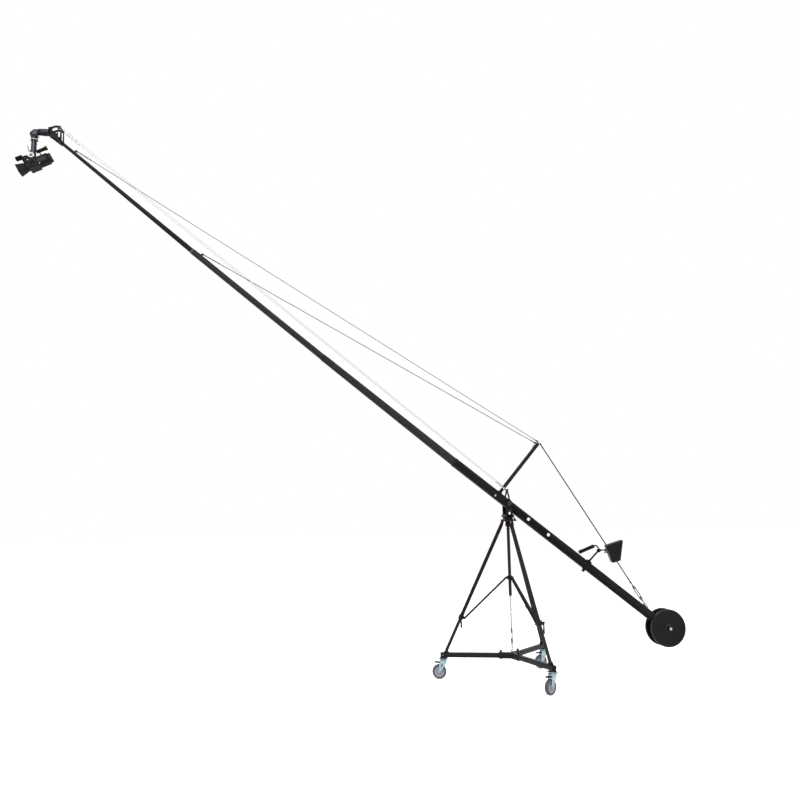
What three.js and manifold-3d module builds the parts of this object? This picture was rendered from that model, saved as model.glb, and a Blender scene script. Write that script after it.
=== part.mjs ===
// Camera jib crane on a wheeled tripod: a counterweighted octagonal arm, held straight by stays
// over a mast, whose two levelling cables keep the camera head upright.
// Millimetres. +Z is up, -X runs to the camera head, -Y is the side that the operator stands on.
// The origin is on the floor, under the pan axis.

import * as THREE from 'three';
import { mergeVertices } from 'three/addons/utils/BufferGeometryUtils.js';
import Module from 'manifold-3d';

// Clearances that every piece shares
const gap = 0.3;
const linkGap = 0.8;
const cutOverrun = 4;
const flatness = 0.03;

// Counts and facets
const legCount = 3;
const armSides = 8;
const roundSides = 10;
const broadSides = 20;
const smallSides = 6;
const beltSides = 8;
const wireSides = 6;
const wheelSides = 14;
const nutSides = 6;
const curveSides = 8;

// Tripod
const tripod = {
  pivotRadius: 60,
  pivotHeight: 1340,
  footRadius: 610,
  barHeight: 205,
  pinRise: 33,
  pinInset: 26.6,
};
const footAngles = [164.6, 284.6, 44.6];
const crown = {
  radius: 64,
  topRise: 53,
  plateDepth: 20,
  hubRadius: 24,
  hubDepth: 66,
  earThickness: 7,
  earRadius: 15,
  pinRadius: 5,
  earRise: 22,
  topBossRadius: 50,
  bevel: 3,
};
const column = {
  radius: 14,
  length: 660.7,
  topCover: 10,
  eyeRadius: 9,
  eyeThickness: 6,
  eyeHoleRadius: 4,
  eyeDrop: 12,
};
const upperLeg = {
  radius: 16,
  bore: 12.8,
  tangWidth: 20,
  tangLength: 34,
  collarPlace: 892,
  collarRadius: 22,
  collarLength: 46,
};
const lowerLeg = {
  radius: 12.5,
  bore: 10,
  top: 572,
  tangWidth: 20,
  tangRadius: 12,
  tangLength: 34,
};
const brace = {
  width: 24,
  edgeRadius: 6,
  pinRadius: 4,
  collarRise: 153,
  collarRadius: 21,
  collarLength: 34,
  columnPinRadius: 33,
  legPinOffset: 32,
  earThickness: 4,
  earRadius: 8,
};
const lever = {
  stemRadius: 6,
  stemLength: 14,
  hubRadius: 9,
  hubLength: 16,
  gripRadius: 5,
  gripLength: 72,
  boltRadius: 4,
};
const leverRestAngles = [26, 26, 150];

// Floor spreader
const bar = {
  across: 40,
  wall: 3,
  innerEnd: 50,
  outerEnd: 634,
  earThickness: 5,
  earRise: 18,
  pinRadius: 5,
  padAcross: 48,
};
const hub = {
  wall: 4,
  core: 24,
  reach: 122,
  eyeRise: 16,
  eyeRadius: 10,
  eyeHoleRadius: 5,
  eyeThickness: 6,
  boltPlace: 100,
  knobRadius: 12,
  knobLength: 20,
  nutRadius: 9,
  nutLength: 8,
};
const chain = {
  wireRadius: 2.2,
  linkRadius: 3.6,
  linkLength: 44,
  linkShares: [1 / 6, 1 / 3, 2 / 3, 5 / 6],
  tensionerRadius: 8,
  tensionerRise: 47.4,
  tensionerLength: 140,
  rodRadius: 4,
};

// Casters
const caster = {
  wheelRadius: 62.5,
  wheelWidth: 32,
  trail: 38,
  plateTop: 174,
  plateThickness: 5,
  plateLength: 78,
  plateWidth: 64,
  kingpinRadius: 7,
  kingpinNutRadius: 12,
  kingpinNutLength: 5,
  crownRadius: 29,
  crownThickness: 14,
  forkThickness: 3,
  axleRadius: 5,
  axleNutRadius: 9,
  axleNutLength: 6,
  axleLobeRadius: 14,
  shoulderReach: 20,
  shoulderRadius: 8,
};
const wheel = {
  rimRadius: 45,
  rimWidth: 26,
  webWidth: 10,
  hubRadius: 14,
  hubWidth: 35,
  treadRound: 9,
};
const pedal = {
  pinPlace: 29,
  pinDrop: 29,
  pinRadius: 3,
  hubRadius: 6,
  reach: 50,
  thickness: 4,
  sideClearance: 0.8,
  padLength: 22,
  padRise: 7,
};
const trailAngles = [168, 215, 197];

// Pan base and yoke
const panBase = {
  discRadius: 46,
  discThickness: 17,
  spindleRadius: 16,
  spindleLength: 16,
};
const yoke = {
  pivotRise: 137,
  inside: 58,
  plateThickness: 8,
  plateHalfWidth: 28.5,
  footRise: 4,
  blockHalfLength: 40,
  blockRise: 40,
  shoulderRise: 14,
  stripHalfWidth: 6.5,
  stripFoot: 44,
  bendRise: 60,
  slotPlace: -87,
  slotHalfWidth: 9,
  slotHalfHeight: 14,
};
const linkRise = 125;
const linkPin = { radius: 5, yokeY: 24, tipY: 42, eyeRadius: 10, eyeWidth: 5 };
const pivot = { radius: 10, headRadius: 17, headLength: 10, bossRadius: 22 };
const panLock = {
  stemRadius: 3,
  stemLength: 4,
  hubRadius: 6,
  gripRadius: 5,
  gripDrop: 48,
  gripReach: 38,
  rise: 26,
};

// Arm
const arm = {
  angle: 37.95,
  camberAngle: 0.568,
  wall: 2.5,
  rearAcross: 78,
  rearEnd: 1900,
  rearReach: 620,
  sectionLength: 1520,
  tail: 120,
  endWall: 4,
};
const frontAcross = { third: 59, second: 49, first: 27 };
const spareBore = { places: [230, 460], tubeRadius: 18, bore: 12 };
const tipBoss = { radius: 17, halfWidth: 32, pinRadius: 8 };
const mast = {
  foot: 115,
  height: 586,
  radius: 17,
  bore: 15,
  leanAngle: 2.4,
  flareRadius: 23,
  flareHeight: 18,
  ringRadius: 19,
  ringHeight: 8,
  ringPlace: 45,
  spigotLength: 112,
  headRise: 30,
  headReach: 15,
  lowReach: 24,
  lowDrop: 26,
  headLobe: 9,
  headThickness: 8,
};
const band = {
  place: 920,
  length: 30,
  wall: 4,
  footLength: 46,
  footWidth: 34,
  footThickness: 6,
  knobRadius: 15,
  knobLength: 20,
  stemLength: 14,
  stemRadius: 5,
  strutRadius: 8,
  headX: 938,
  headRise: 186,
  headRadius: 15,
  headWidth: 26,
  pinRadius: 4,
};
const grip = {
  radius: 16.5,
  rodRadius: 6,
  lowX: 797,
  lowRise: 56,
  highX: 878,
  highRise: 188,
  eyeRadius: 10,
  eyeWidth: 12,
};

// Stays and their fittings
const lug = { thickness: 6, radius: 8, pinRadius: 4, rise: 13 };
const fork = { thickness: 3, radius: 7, neck: 20, bridge: 5 };
const wire = { frontRadius: 2, rearRadius: 4, levelRadius: 1.5 };
const barrelScrew = { radius: 5.5, halfLength: 21, taper: 4 };
const stayInsets = { long: 150, short: 90, rear: 330 };
const stayScrews = { long: [130, 70], short: [150, 90] };
const screwPlaces = { yoke: 92, tipNear: 78, tipFar: 160 };
const rearTensioner = {
  length: 232,
  halfWidth: 12,
  railRadius: 4.5,
  bossRadius: 8,
  bossLength: 18,
  rodRadius: 5,
  rodLength: 22,
};

// Counterweights
const weight = {
  place: 1845,
  plateRadius: 168,
  plateThickness: 20,
  rimWidth: 12,
  rimDepth: 3,
  hubRadius: 34,
  axleRadius: 12.5,
  collarRadius: 22,
  knobRadius: 25,
  knobLength: 18,
  axleSpare: 24,
  knobLobes: 6,
  knobGroove: 5,
};

// Monitor
const monitor = {
  width: 180,
  height: 158,
  panelDepth: 24,
  hoodTop: 155,
  hoodBottom: 85,
  hoodWall: 3,
  tiltAngle: 18,
  yawAngle: 17,
  armRadius: 6,
  armY: -96,
  armX: 20,
  armRise: 4,
  knuckleRadius: 10,
  knuckleHeight: 16,
  pinRadius: 4,
  mountDrop: 42,
  postRadius: 8,
};

// Tip bracket and remote head, measured from the tip pivot
const tip = {
  plateInside: 33,
  plateThickness: 6,
  pivotRadius: 16,
  topRadius: 9,
  crestX: -36,
  crestRise: 6,
  crestRadius: 11,
  frontX: -92,
  frontHigh: 108,
  frontLow: 66,
  frontRadius: 12,
  blockLength: 20,
  nutRadius: 13,
  nutLength: 8,
};
const head = {
  barrelRise: 85,
  barrelRadius: 31.5,
  barrelNoseRadius: 29,
  barrelEnd: -194,
  elbowEnd: -264,
  elbowLow: 40,
  elbowHigh: 100,
  elbowHalfWidth: 31,
  panX: -226,
  collarRadius: 32,
  collarLow: -3,
  spindleRadius: 12,
  spindleLength: 30,
  postRadius: 25,
  postBottom: -144,
  tiltX: -226,
  tiltZ: -162,
  gearRadius: 20,
  shaftRadius: 8,
  ringRadius: 24,
  ringLength: 6,
};
const cradle = {
  inside: 47.3,
  thickness: 5,
  lobeRadius: 22,
  depth: 100,
  front: -70,
  rear: 22,
  footRadius: 6,
};

// Camera, measured from the tilt axis with its nose to -X
const camera = {
  pitchAngle: 28.4,
  axisDrop: 60,
  halfWidth: 44,
  halfHeight: 38,
  rear: 121,
  bodyFront: -56,
  edge: 8,
  lensRadius: 33,
  lensFront: -96,
  hoodFront: -163,
  hoodHalfWidth: 50,
  hoodHalfHeight: 41,
  hoodWall: 4,
  hoodRearShare: 0.76,
  handleRear: -38,
  handleFront: -138,
  handleWidth: 30,
  handleRise: 62,
  handleThickness: 18,
  micRadius: 17,
  micRear: -76,
  batteryDepth: 26,
  batteryHalfWidth: 34,
};
const finder = {
  radius: 15,
  side: -62,
  rise: 0,
  front: 52,
  rear: 150,
  bracketRadius: 5,
  bracketX: 72,
  bracketY: -35,
  pinRadius: 3.5,
  cupRadius: 19,
  cupLength: 24,
};

const finishes = {
  blackPaint: { color: 0x17181a, roughness: 0.45, metalness: 0.3 },
  satinBlack: { color: 0x1b1c1f, roughness: 0.35, metalness: 0.5 },
  blackPlastic: { color: 0x141414, roughness: 0.6, metalness: 0 },
  foam: { color: 0x101010, roughness: 0.95, metalness: 0 },
  castIron: { color: 0x1c1c1d, roughness: 0.55, metalness: 0.3 },
  zinc: { color: 0xaab8c0, roughness: 0.35, metalness: 0.8 },
  steel: { color: 0xb0b2b4, roughness: 0.4, metalness: 0.8 },
  tread: { color: 0x7c8894, roughness: 0.7, metalness: 0 },
};

const wasm = await Module();
wasm.setup();

const crane = new THREE.Group();
const yAxis = new THREE.Vector3(0, 1, 0);
const radians = THREE.MathUtils.degToRad;
const vector = (point) => new THREE.Vector3(...point);

function signedVolume(position, triangles) {
  const [a, b, c] = [new THREE.Vector3(), new THREE.Vector3(), new THREE.Vector3()];
  let total = 0;
  for (const [i, j, k] of triangles) {
    a.fromBufferAttribute(position, i);
    b.fromBufferAttribute(position, j);
    c.fromBufferAttribute(position, k);
    total += a.dot(b.cross(c));
  }
  return total;
}

// A closed geometry becomes a solid that can be joined and cut
function asSolid(shape) {
  if (!shape.isBufferGeometry) return shape;
  const bare = shape.clone();
  bare.deleteAttribute('normal');
  bare.deleteAttribute('uv');
  const merged = mergeVertices(bare);
  const { position } = merged.attributes;
  const triangles = [];
  for (let i = 0; i < merged.index.count; i += 3) {
    const [a, b, c] = [merged.index.getX(i), merged.index.getX(i + 1), merged.index.getX(i + 2)];
    if (a !== b && b !== c && c !== a) triangles.push([a, b, c]);
  }
  if (signedVolume(position, triangles) < 0) triangles.forEach((triangle) => triangle.reverse());
  const triVerts = Uint32Array.from(triangles.flat());
  const vertProperties = Float32Array.from(position.array);
  return new wasm.Manifold(new wasm.Mesh({ numProp: 3, vertProperties, triVerts }));
}

const join = (...shapes) => shapes.map(asSolid).reduce((whole, next) => whole.add(next));
const cut = (whole, ...holes) => (
  holes.map(asSolid).reduce((rest, hole) => rest.subtract(hole), asSolid(whole))
);

function geometryOf(points, triangles) {
  const geometry = new THREE.BufferGeometry();
  geometry.setAttribute('position', new THREE.Float32BufferAttribute(points, 3));
  geometry.setIndex(Array.from(triangles));
  return geometry;
}

function geometryFrom(solid) {
  const { vertProperties, triVerts } = solid.getMesh();
  return geometryOf(vertProperties, triVerts);
}

// A copy of a solid, turned about the pan axis
const turnedCopy = (solid, angle) => asSolid(geometryFrom(solid).rotateZ(radians(angle)));

function add(group, name, shape, finish) {
  const geometry = geometryFrom(asSolid(shape).simplify(flatness));
  geometry.computeVertexNormals();
  const mesh = new THREE.Mesh(geometry, new THREE.MeshStandardMaterial(finishes[finish]));
  mesh.name = name;
  group.add(mesh);
}

function subGroup(parent, position = [0, 0, 0], turn = [0, 0, 0], order = 'XYZ') {
  const group = new THREE.Group();
  group.position.set(...position);
  group.rotation.set(...turn.map(radians), order);
  parent.add(group);
  return group;
}

// Stands a geometry made along +Y on the line between two points
function along(geometry, from, to) {
  const [start, end] = [vector(from), vector(to)];
  const direction = end.clone().sub(start).normalize();
  geometry.applyQuaternion(new THREE.Quaternion().setFromUnitVectors(yAxis, direction));
  return geometry.translate(...start);
}

function rod(radius, from, to, sides = smallSides, endRadius = radius) {
  const length = vector(from).distanceTo(vector(to));
  const half = length / 2;
  const startAngle = Math.PI / sides;
  const geometry = new THREE.CylinderGeometry(endRadius, radius, length, sides, 1, false, startAngle);
  return along(geometry.translate(0, half, 0), from, to);
}

// The corner radius of a faceted hole whose flats clear a pin
const roomFor = (radius, sides = smallSides) => (radius + gap) / Math.cos(Math.PI / sides);

const bored = (radius, from, to, sides = smallSides) => rod(roomFor(radius, sides), from, to, sides);

// A turned shape: profile pairs are radius and distance from the first point
function turned(profile, from, to, sides = roundSides) {
  const points = profile.map(([radius, distance]) => new THREE.Vector2(radius, distance));
  return along(new THREE.LatheGeometry(points, sides, Math.PI / sides), from, to);
}

function pipe(radius, bore, from, to, sides = roundSides) {
  const length = vector(from).distanceTo(vector(to));
  const profile = [[bore, 0], [radius, 0], [radius, length], [bore, length], [bore, 0]];
  return turned(profile, from, to, sides);
}

function block(low, high) {
  const [a, b] = [vector(low), vector(high)];
  const size = b.clone().sub(a);
  const middle = a.add(b).multiplyScalar(1 / 2);
  return new THREE.BoxGeometry(...size).translate(...middle);
}

// The outline of a strap pulled tight round circles, each an x, a y and a radius, anticlockwise
function belt(lobes) {
  const sideAngles = lobes.map(([x, y, radius], i) => {
    const [nextX, nextY, nextRadius] = lobes[(i + 1) % lobes.length];
    const distance = Math.hypot(nextX - x, nextY - y);
    return Math.atan2(nextY - y, nextX - x) - Math.acos((radius - nextRadius) / distance);
  });
  const fullTurn = 2 * Math.PI;
  const points = lobes.flatMap(([x, y, radius], i) => {
    const before = sideAngles[(i + lobes.length - 1) % lobes.length];
    const sweep = (((sideAngles[i] - before) % fullTurn) + fullTurn) % fullTurn;
    const stepCount = Math.max(1, Math.round(sweep * beltSides / fullTurn));
    return Array.from({ length: stepCount + 1 }, (_, step) => {
      const angle = before + sweep * step / stepCount;
      return [x + radius * Math.cos(angle), y + radius * Math.sin(angle)];
    });
  });
  return outline(points);
}

function outline(points) {
  return new THREE.Shape(points.map((point) => new THREE.Vector2(...point)));
}

function extruded(shape, length) {
  return new THREE.ExtrudeGeometry(shape, { depth: length, bevelEnabled: false });
}

// A plate whose outline lies in x and z, between two places along y
function sidePlate(shape, yFrom, yTo) {
  return extruded(shape, yTo - yFrom).rotateX(Math.PI / 2).translate(0, yTo, 0);
}

// A bar whose outline lies in y and z, between two places along x
function crossPlate(shape, xFrom, xTo) {
  const turn = new THREE.Matrix4().makeBasis(vector([0, 1, 0]), vector([0, 0, 1]), vector([1, 0, 0]));
  return extruded(shape, xTo - xFrom).applyMatrix4(turn).translate(xFrom, 0, 0);
}

// A pair of plates, alike on both sides of y = 0
function pairOfPlates(shape, inside, thickness) {
  const outside = inside + thickness;
  return join(sidePlate(shape, inside, outside), sidePlate(shape, -outside, -inside));
}

const octagonRadius = (across) => across / 2 / Math.cos(Math.PI / armSides);

// Heights up the tripod, and the line of a leg from its crown pin to its pin on the spreader
const crownTop = tripod.pivotHeight + crown.topRise;
const pivotHeight = crownTop + yoke.pivotRise;
const columnTop = crownTop - column.topCover - gap;
const columnBottom = columnTop - column.length;
const braceCollarHeight = columnBottom + brace.collarRise;
const hubTop = tripod.barHeight + bar.across / 2 + gap + hub.wall;
const legRun = tripod.footRadius - tripod.pivotRadius - tripod.pinInset;
const legDrop = tripod.pivotHeight - tripod.barHeight - tripod.pinRise;
const legLength = Math.hypot(legRun, legDrop);
const legAngle = THREE.MathUtils.radToDeg(Math.atan2(legRun, legDrop));
const legSine = Math.sin(radians(legAngle));
const legCosine = Math.cos(radians(legAngle));
const onLeg = (distance) => [
  tripod.pivotRadius + distance * legSine,
  tripod.pivotHeight - distance * legCosine,
];

function makeCrown() {
  const top = crownTop;
  const plateBottom = top - crown.plateDepth;
  const { radius, bevel, topBossRadius, hubRadius } = crown;
  const hubBottom = top - crown.hubDepth;
  let body = asSolid(turned([
    [0, 0], [hubRadius, 0], [hubRadius, plateBottom - hubBottom], [radius, plateBottom - hubBottom],
    [radius, top - bevel - bevel - hubBottom], [topBossRadius, top - hubBottom], [0, top - hubBottom],
  ], [0, 0, hubBottom], [0, 0, top]));
  const earInside = upperLeg.tangWidth / 2 + gap;
  const earTop = plateBottom + bevel;
  const ear = belt([
    [tripod.pivotRadius, tripod.pivotHeight, crown.earRadius],
    [tripod.pivotRadius - bevel, earTop, bevel],
    [tripod.pivotRadius - crown.earRise, earTop, bevel],
  ]);
  const pinEnd = earInside + crown.earThickness + crown.pinRadius;
  const ears = join(
    pairOfPlates(ear, earInside, crown.earThickness),
    rod(crown.pinRadius, [tripod.pivotRadius, -pinEnd, tripod.pivotHeight],
      [tripod.pivotRadius, pinEnd, tripod.pivotHeight]),
  );
  for (const angle of footAngles) body = body.add(turnedCopy(ears, angle));
  const bore = bored(column.radius, [0, 0, hubBottom - cutOverrun],
    [0, 0, top - column.topCover], roundSides);
  add(crane, 'crown', cut(body, bore), 'satinBlack');
}

function makeColumn() {
  const eyeHeight = columnBottom - column.eyeDrop;
  const half = column.eyeThickness / 2;
  const eye = sidePlate(belt([
    [0, eyeHeight, column.eyeRadius],
    [column.radius - column.eyeThickness, columnBottom, half],
    [column.eyeThickness - column.radius, columnBottom, half],
  ]), -half, half);
  const hole = rod(column.eyeHoleRadius, [0, -cutOverrun - half, eyeHeight],
    [0, cutOverrun + half, eyeHeight]);
  const tube = rod(column.radius, [0, 0, columnBottom], [0, 0, columnTop], roundSides);
  add(crane, 'centre_column', cut(join(tube, eye), hole), 'blackPaint');
}

function makeUpperLeg(line, number) {
  const { radius, bore, tangWidth, tangLength, collarPlace, collarRadius, collarLength } = upperLeg;
  const halfTang = tangWidth / 2;
  const collarTop = collarPlace - collarLength / 2;
  const collarBottom = collarPlace + collarLength / 2;
  const tang = sidePlate(belt([[0, 0, radius], [0, -tangLength, radius]]), -halfTang, halfTang);
  const earInside = brace.width / 2 + gap;
  const ear = belt([
    [-brace.legPinOffset, -collarPlace, brace.earRadius],
    [-bore, -collarPlace - brace.earRadius, brace.earThickness],
    [-bore, -collarPlace + brace.earRadius, brace.earThickness],
  ]);
  const pinEnd = earInside + brace.earThickness + brace.earThickness;
  const leverSeat = collarRadius + lever.stemLength;
  const body = join(
    tang,
    rod(radius, [0, 0, -radius], [0, 0, -collarBottom], roundSides),
    turned([
      [0, 0], [radius, 0], [collarRadius, radius / 2], [collarRadius, collarLength], [0, collarLength],
    ], [0, 0, -collarTop], [0, 0, -collarBottom]),
    pairOfPlates(ear, earInside, brace.earThickness),
    rod(brace.pinRadius, [-brace.legPinOffset, -pinEnd, -collarPlace],
      [-brace.legPinOffset, pinEnd, -collarPlace]),
    rod(lever.stemRadius, [0, radius, -collarPlace], [0, leverSeat, -collarPlace]),
    rod(lever.boltRadius, [0, radius, -collarPlace], [0, leverSeat + lever.hubLength, -collarPlace]),
  );
  const hole = bored(crown.pinRadius, [0, -halfTang - cutOverrun, 0], [0, halfTang + cutOverrun, 0]);
  const inside = rod(bore, [0, 0, -tangLength - radius], [0, 0, -collarBottom - cutOverrun], roundSides);
  add(line, `leg_upper_${number}`, cut(body, hole, inside), 'blackPaint');
}

function makeLowerLeg(line, number) {
  const { radius, bore, top, tangWidth, tangRadius, tangLength } = lowerLeg;
  const halfTang = tangWidth / 2;
  const tubeEnd = legLength - tangRadius - gap;
  const body = join(
    pipe(radius, bore, [0, 0, -top], [0, 0, -tubeEnd]),
    sidePlate(belt([[0, -legLength, tangRadius], [0, tangLength - legLength, tangRadius]]),
      -halfTang, halfTang),
  );
  const hole = bored(bar.pinRadius, [0, -halfTang - cutOverrun, -legLength],
    [0, halfTang + cutOverrun, -legLength]);
  add(line, `leg_lower_${number}`, cut(body, hole), 'blackPaint');
}

function makeClampLever(line, number) {
  const seat = upperLeg.collarRadius + lever.stemLength + gap;
  const far = seat + lever.hubLength;
  const turn = subGroup(line, [0, 0, -upperLeg.collarPlace], [0, leverRestAngles[number - 1], 0]);
  const middle = (seat + far) / 2;
  const body = join(
    rod(lever.hubRadius, [0, seat, 0], [0, far, 0]),
    rod(lever.gripRadius, [0, middle, 0], [0, middle, -lever.gripLength], smallSides, lever.stemRadius),
  );
  const hole = bored(lever.boltRadius, [0, seat - cutOverrun, 0], [0, far + cutOverrun, 0]);
  add(turn, `clamp_lever_${number}`, cut(body, hole), 'blackPlastic');
}

function makeBrace(radial, number) {
  const [collarX, collarZ] = onLeg(upperLeg.collarPlace);
  const legX = collarX - brace.legPinOffset * legCosine;
  const legZ = collarZ - brace.legPinOffset * legSine;
  const { columnPinRadius, edgeRadius, width, pinRadius } = brace;
  const collarHeight = braceCollarHeight;
  const half = width / 2;
  const shape = belt([[columnPinRadius, collarHeight, edgeRadius], [legX, legZ, edgeRadius]].reverse());
  const holes = [[columnPinRadius, collarHeight], [legX, legZ]].map(([x, z]) => (
    bored(pinRadius, [x, -half - cutOverrun, z], [x, half + cutOverrun, z])
  ));
  add(radial, `brace_${number}`, cut(sidePlate(shape, -half, half), ...holes), 'blackPaint');
}

function makeBraceCollar() {
  const { collarLength, collarRadius, columnPinRadius, earRadius, earThickness } = brace;
  const collarHeight = braceCollarHeight;
  const low = collarHeight - collarLength / 2;
  const high = collarHeight + collarLength / 2;
  const earInside = brace.width / 2 + gap;
  const pinEnd = earInside + earThickness + earThickness;
  const ear = belt([
    [column.radius, collarHeight - earRadius, earThickness],
    [columnPinRadius, collarHeight, earRadius],
    [column.radius, collarHeight + earRadius, earThickness],
  ]);
  const ears = join(
    pairOfPlates(ear, earInside, earThickness),
    rod(brace.pinRadius, [columnPinRadius, -pinEnd, collarHeight], [columnPinRadius, pinEnd, collarHeight]),
  );
  let body = asSolid(rod(collarRadius, [0, 0, low], [0, 0, high], roundSides));
  for (const angle of footAngles) body = body.add(turnedCopy(ears, angle));
  const bore = bored(column.radius, [0, 0, low - cutOverrun], [0, 0, high + cutOverrun], roundSides);
  add(crane, 'brace_collar', cut(body, bore), 'satinBlack');
}

function makeChain() {
  const top = columnBottom - column.eyeDrop - column.eyeRadius - gap;
  const bottom = hubTop + hub.eyeRise + hub.eyeRadius + gap;
  const { wireRadius, linkRadius, linkLength, linkShares, rodRadius } = chain;
  const { tensionerRadius, tensionerRise, tensionerLength } = chain;
  const length = top - bottom;
  const linksStart = tensionerRise + tensionerLength;
  const profile = [
    [0, 0], [rodRadius, 0], [rodRadius, tensionerRise],
    [tensionerRadius, tensionerRise + rodRadius], [tensionerRadius, linksStart - rodRadius],
    [rodRadius, linksStart],
  ];
  const linkCount = Math.max(1, Math.round((length - linksStart) / linkLength));
  const pitch = (length - linksStart) / linkCount;
  const linkRadii = [wireRadius, linkRadius, linkRadius, wireRadius];
  for (let i = 0; i < linkCount; i += 1) {
    linkShares.forEach((share, k) => profile.push([linkRadii[k], linksStart + (i + share) * pitch]));
  }
  profile.push([wireRadius, length], [0, length]);
  add(crane, 'tension_chain', turned(profile, [0, 0, bottom], [0, 0, top], wireSides), 'steel');
}

function makeSpreaderBar(radial, number) {
  const half = bar.across / 2;
  const { barHeight } = tripod;
  const [pinX, pinZ] = onLeg(legLength);
  const low = barHeight - half;
  const high = barHeight + half;
  const boreHalf = half - bar.wall;
  const tube = cut(
    block([bar.innerEnd, -half, low], [bar.outerEnd, half, high]),
    block([bar.innerEnd - cutOverrun, -boreHalf, barHeight - boreHalf],
      [bar.outerEnd - bar.wall, boreHalf, barHeight + boreHalf]),
  );
  const earInside = lowerLeg.tangWidth / 2 + gap;
  const ear = belt([
    [pinX - bar.earRise, high, bar.earThickness],
    [pinX + bar.earRise, high, bar.earThickness],
    [pinX, pinZ, lowerLeg.tangRadius],
  ]);
  const pinEnd = earInside + bar.earThickness + bar.pinRadius;
  const plateBottom = caster.plateTop - caster.plateThickness;
  const padHalf = bar.padAcross / 2;
  const forkTop = plateBottom - gap;
  const nutTop = forkTop - caster.crownThickness - gap;
  const x = tripod.footRadius;
  const body = join(
    tube,
    pairOfPlates(ear, earInside, bar.earThickness),
    rod(bar.pinRadius, [pinX, -pinEnd, pinZ], [pinX, pinEnd, pinZ]),
    block([x - padHalf, -half, plateBottom + gap], [bar.outerEnd, half, low + bar.wall]),
    block([x - caster.plateLength / 2, -caster.plateWidth / 2, plateBottom],
      [x + caster.plateLength / 2, caster.plateWidth / 2, caster.plateTop]),
    rod(caster.kingpinRadius, [x, 0, nutTop], [x, 0, caster.plateTop]),
    rod(caster.kingpinNutRadius, [x, 0, nutTop - caster.kingpinNutLength], [x, 0, nutTop]),
  );
  add(radial, `spreader_bar_${number}`, body, 'blackPaint');
}

function makeHub() {
  const { barHeight } = tripod;
  const inside = bar.across / 2 + gap;
  const outside = inside + hub.wall;
  const boltBottom = barHeight - outside - hub.nutLength;
  const boltTop = hubTop + hub.knobLength;
  let body;
  let rooms;
  for (const angle of footAngles) {
    const sleeve = join(
      block([0, -outside, barHeight - outside], [hub.reach, outside, barHeight + outside]),
      rod(hub.knobRadius, [hub.boltPlace, 0, hubTop - gap], [hub.boltPlace, 0, boltTop], beltSides),
      rod(hub.nutRadius, [hub.boltPlace, 0, boltBottom],
        [hub.boltPlace, 0, barHeight - outside + gap], nutSides),
    );
    const room = block([hub.core, -inside, barHeight - inside],
      [hub.reach + cutOverrun, inside, barHeight + inside]);
    const placedSleeve = turnedCopy(sleeve, angle);
    const placedRoom = asSolid(room.rotateZ(radians(angle)));
    body = body ? body.add(placedSleeve) : placedSleeve;
    rooms = rooms ? rooms.add(placedRoom) : placedRoom;
  }
  const half = hub.eyeThickness / 2;
  const eyeHeight = hubTop + hub.eyeRise;
  const eye = sidePlate(belt([
    [-hub.eyeRadius, hubTop, half], [hub.eyeRadius, hubTop, half], [0, eyeHeight, hub.eyeRadius],
  ]), -half, half);
  const eyeHole = rod(hub.eyeHoleRadius, [0, -half - cutOverrun, eyeHeight],
    [0, half + cutOverrun, eyeHeight]);
  add(crane, 'spreader_hub', cut(cut(body, rooms).add(asSolid(eye)), eyeHole), 'satinBlack');
}

function makeCaster(radial, number) {
  const x = tripod.footRadius;
  const swivel = subGroup(radial, [x, 0, 0], [0, 0, trailAngles[number - 1] - footAngles[number - 1]]);
  const forkTop = caster.plateTop - caster.plateThickness - gap;
  const forkBottom = forkTop - caster.crownThickness;
  const cheekInside = wheel.hubWidth / 2 + gap;
  const cheekOutside = cheekInside + caster.forkThickness;
  const { trail, wheelRadius, shoulderReach, shoulderRadius, axleRadius, axleNutRadius } = caster;
  const shoulderHeight = forkBottom + shoulderRadius - caster.forkThickness;
  const cheek = belt([
    [trail, wheelRadius, caster.axleLobeRadius],
    [shoulderReach, shoulderHeight, shoulderRadius],
    [-shoulderReach, shoulderHeight, shoulderRadius],
  ]);
  const nutEnd = cheekOutside + caster.axleNutLength;
  const pinX = pedal.pinPlace;
  const pinZ = forkTop - pedal.pinDrop;
  const forkBody = join(
    rod(caster.crownRadius, [0, 0, forkBottom], [0, 0, forkTop], roundSides),
    pairOfPlates(cheek, cheekInside, caster.forkThickness),
    rod(axleRadius, [trail, -nutEnd, wheelRadius], [trail, nutEnd, wheelRadius]),
    rod(axleNutRadius, [trail, cheekOutside - gap, wheelRadius], [trail, nutEnd, wheelRadius], nutSides),
    rod(axleNutRadius, [trail, -nutEnd, wheelRadius], [trail, gap - cheekOutside, wheelRadius], nutSides),
    rod(pedal.pinRadius, [pinX, -cheekOutside, pinZ], [pinX, cheekOutside, pinZ], wireSides),
  );
  const bore = bored(caster.kingpinRadius, [0, 0, forkBottom - cutOverrun], [0, 0, forkTop + cutOverrun]);
  add(swivel, `caster_fork_${number}`, cut(forkBody, bore), 'zinc');

  makeWheel(subGroup(swivel, [trail, 0, wheelRadius]), number);
  makePedal(subGroup(swivel, [pinX, 0, pinZ]), number, cheekInside);
}

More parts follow.
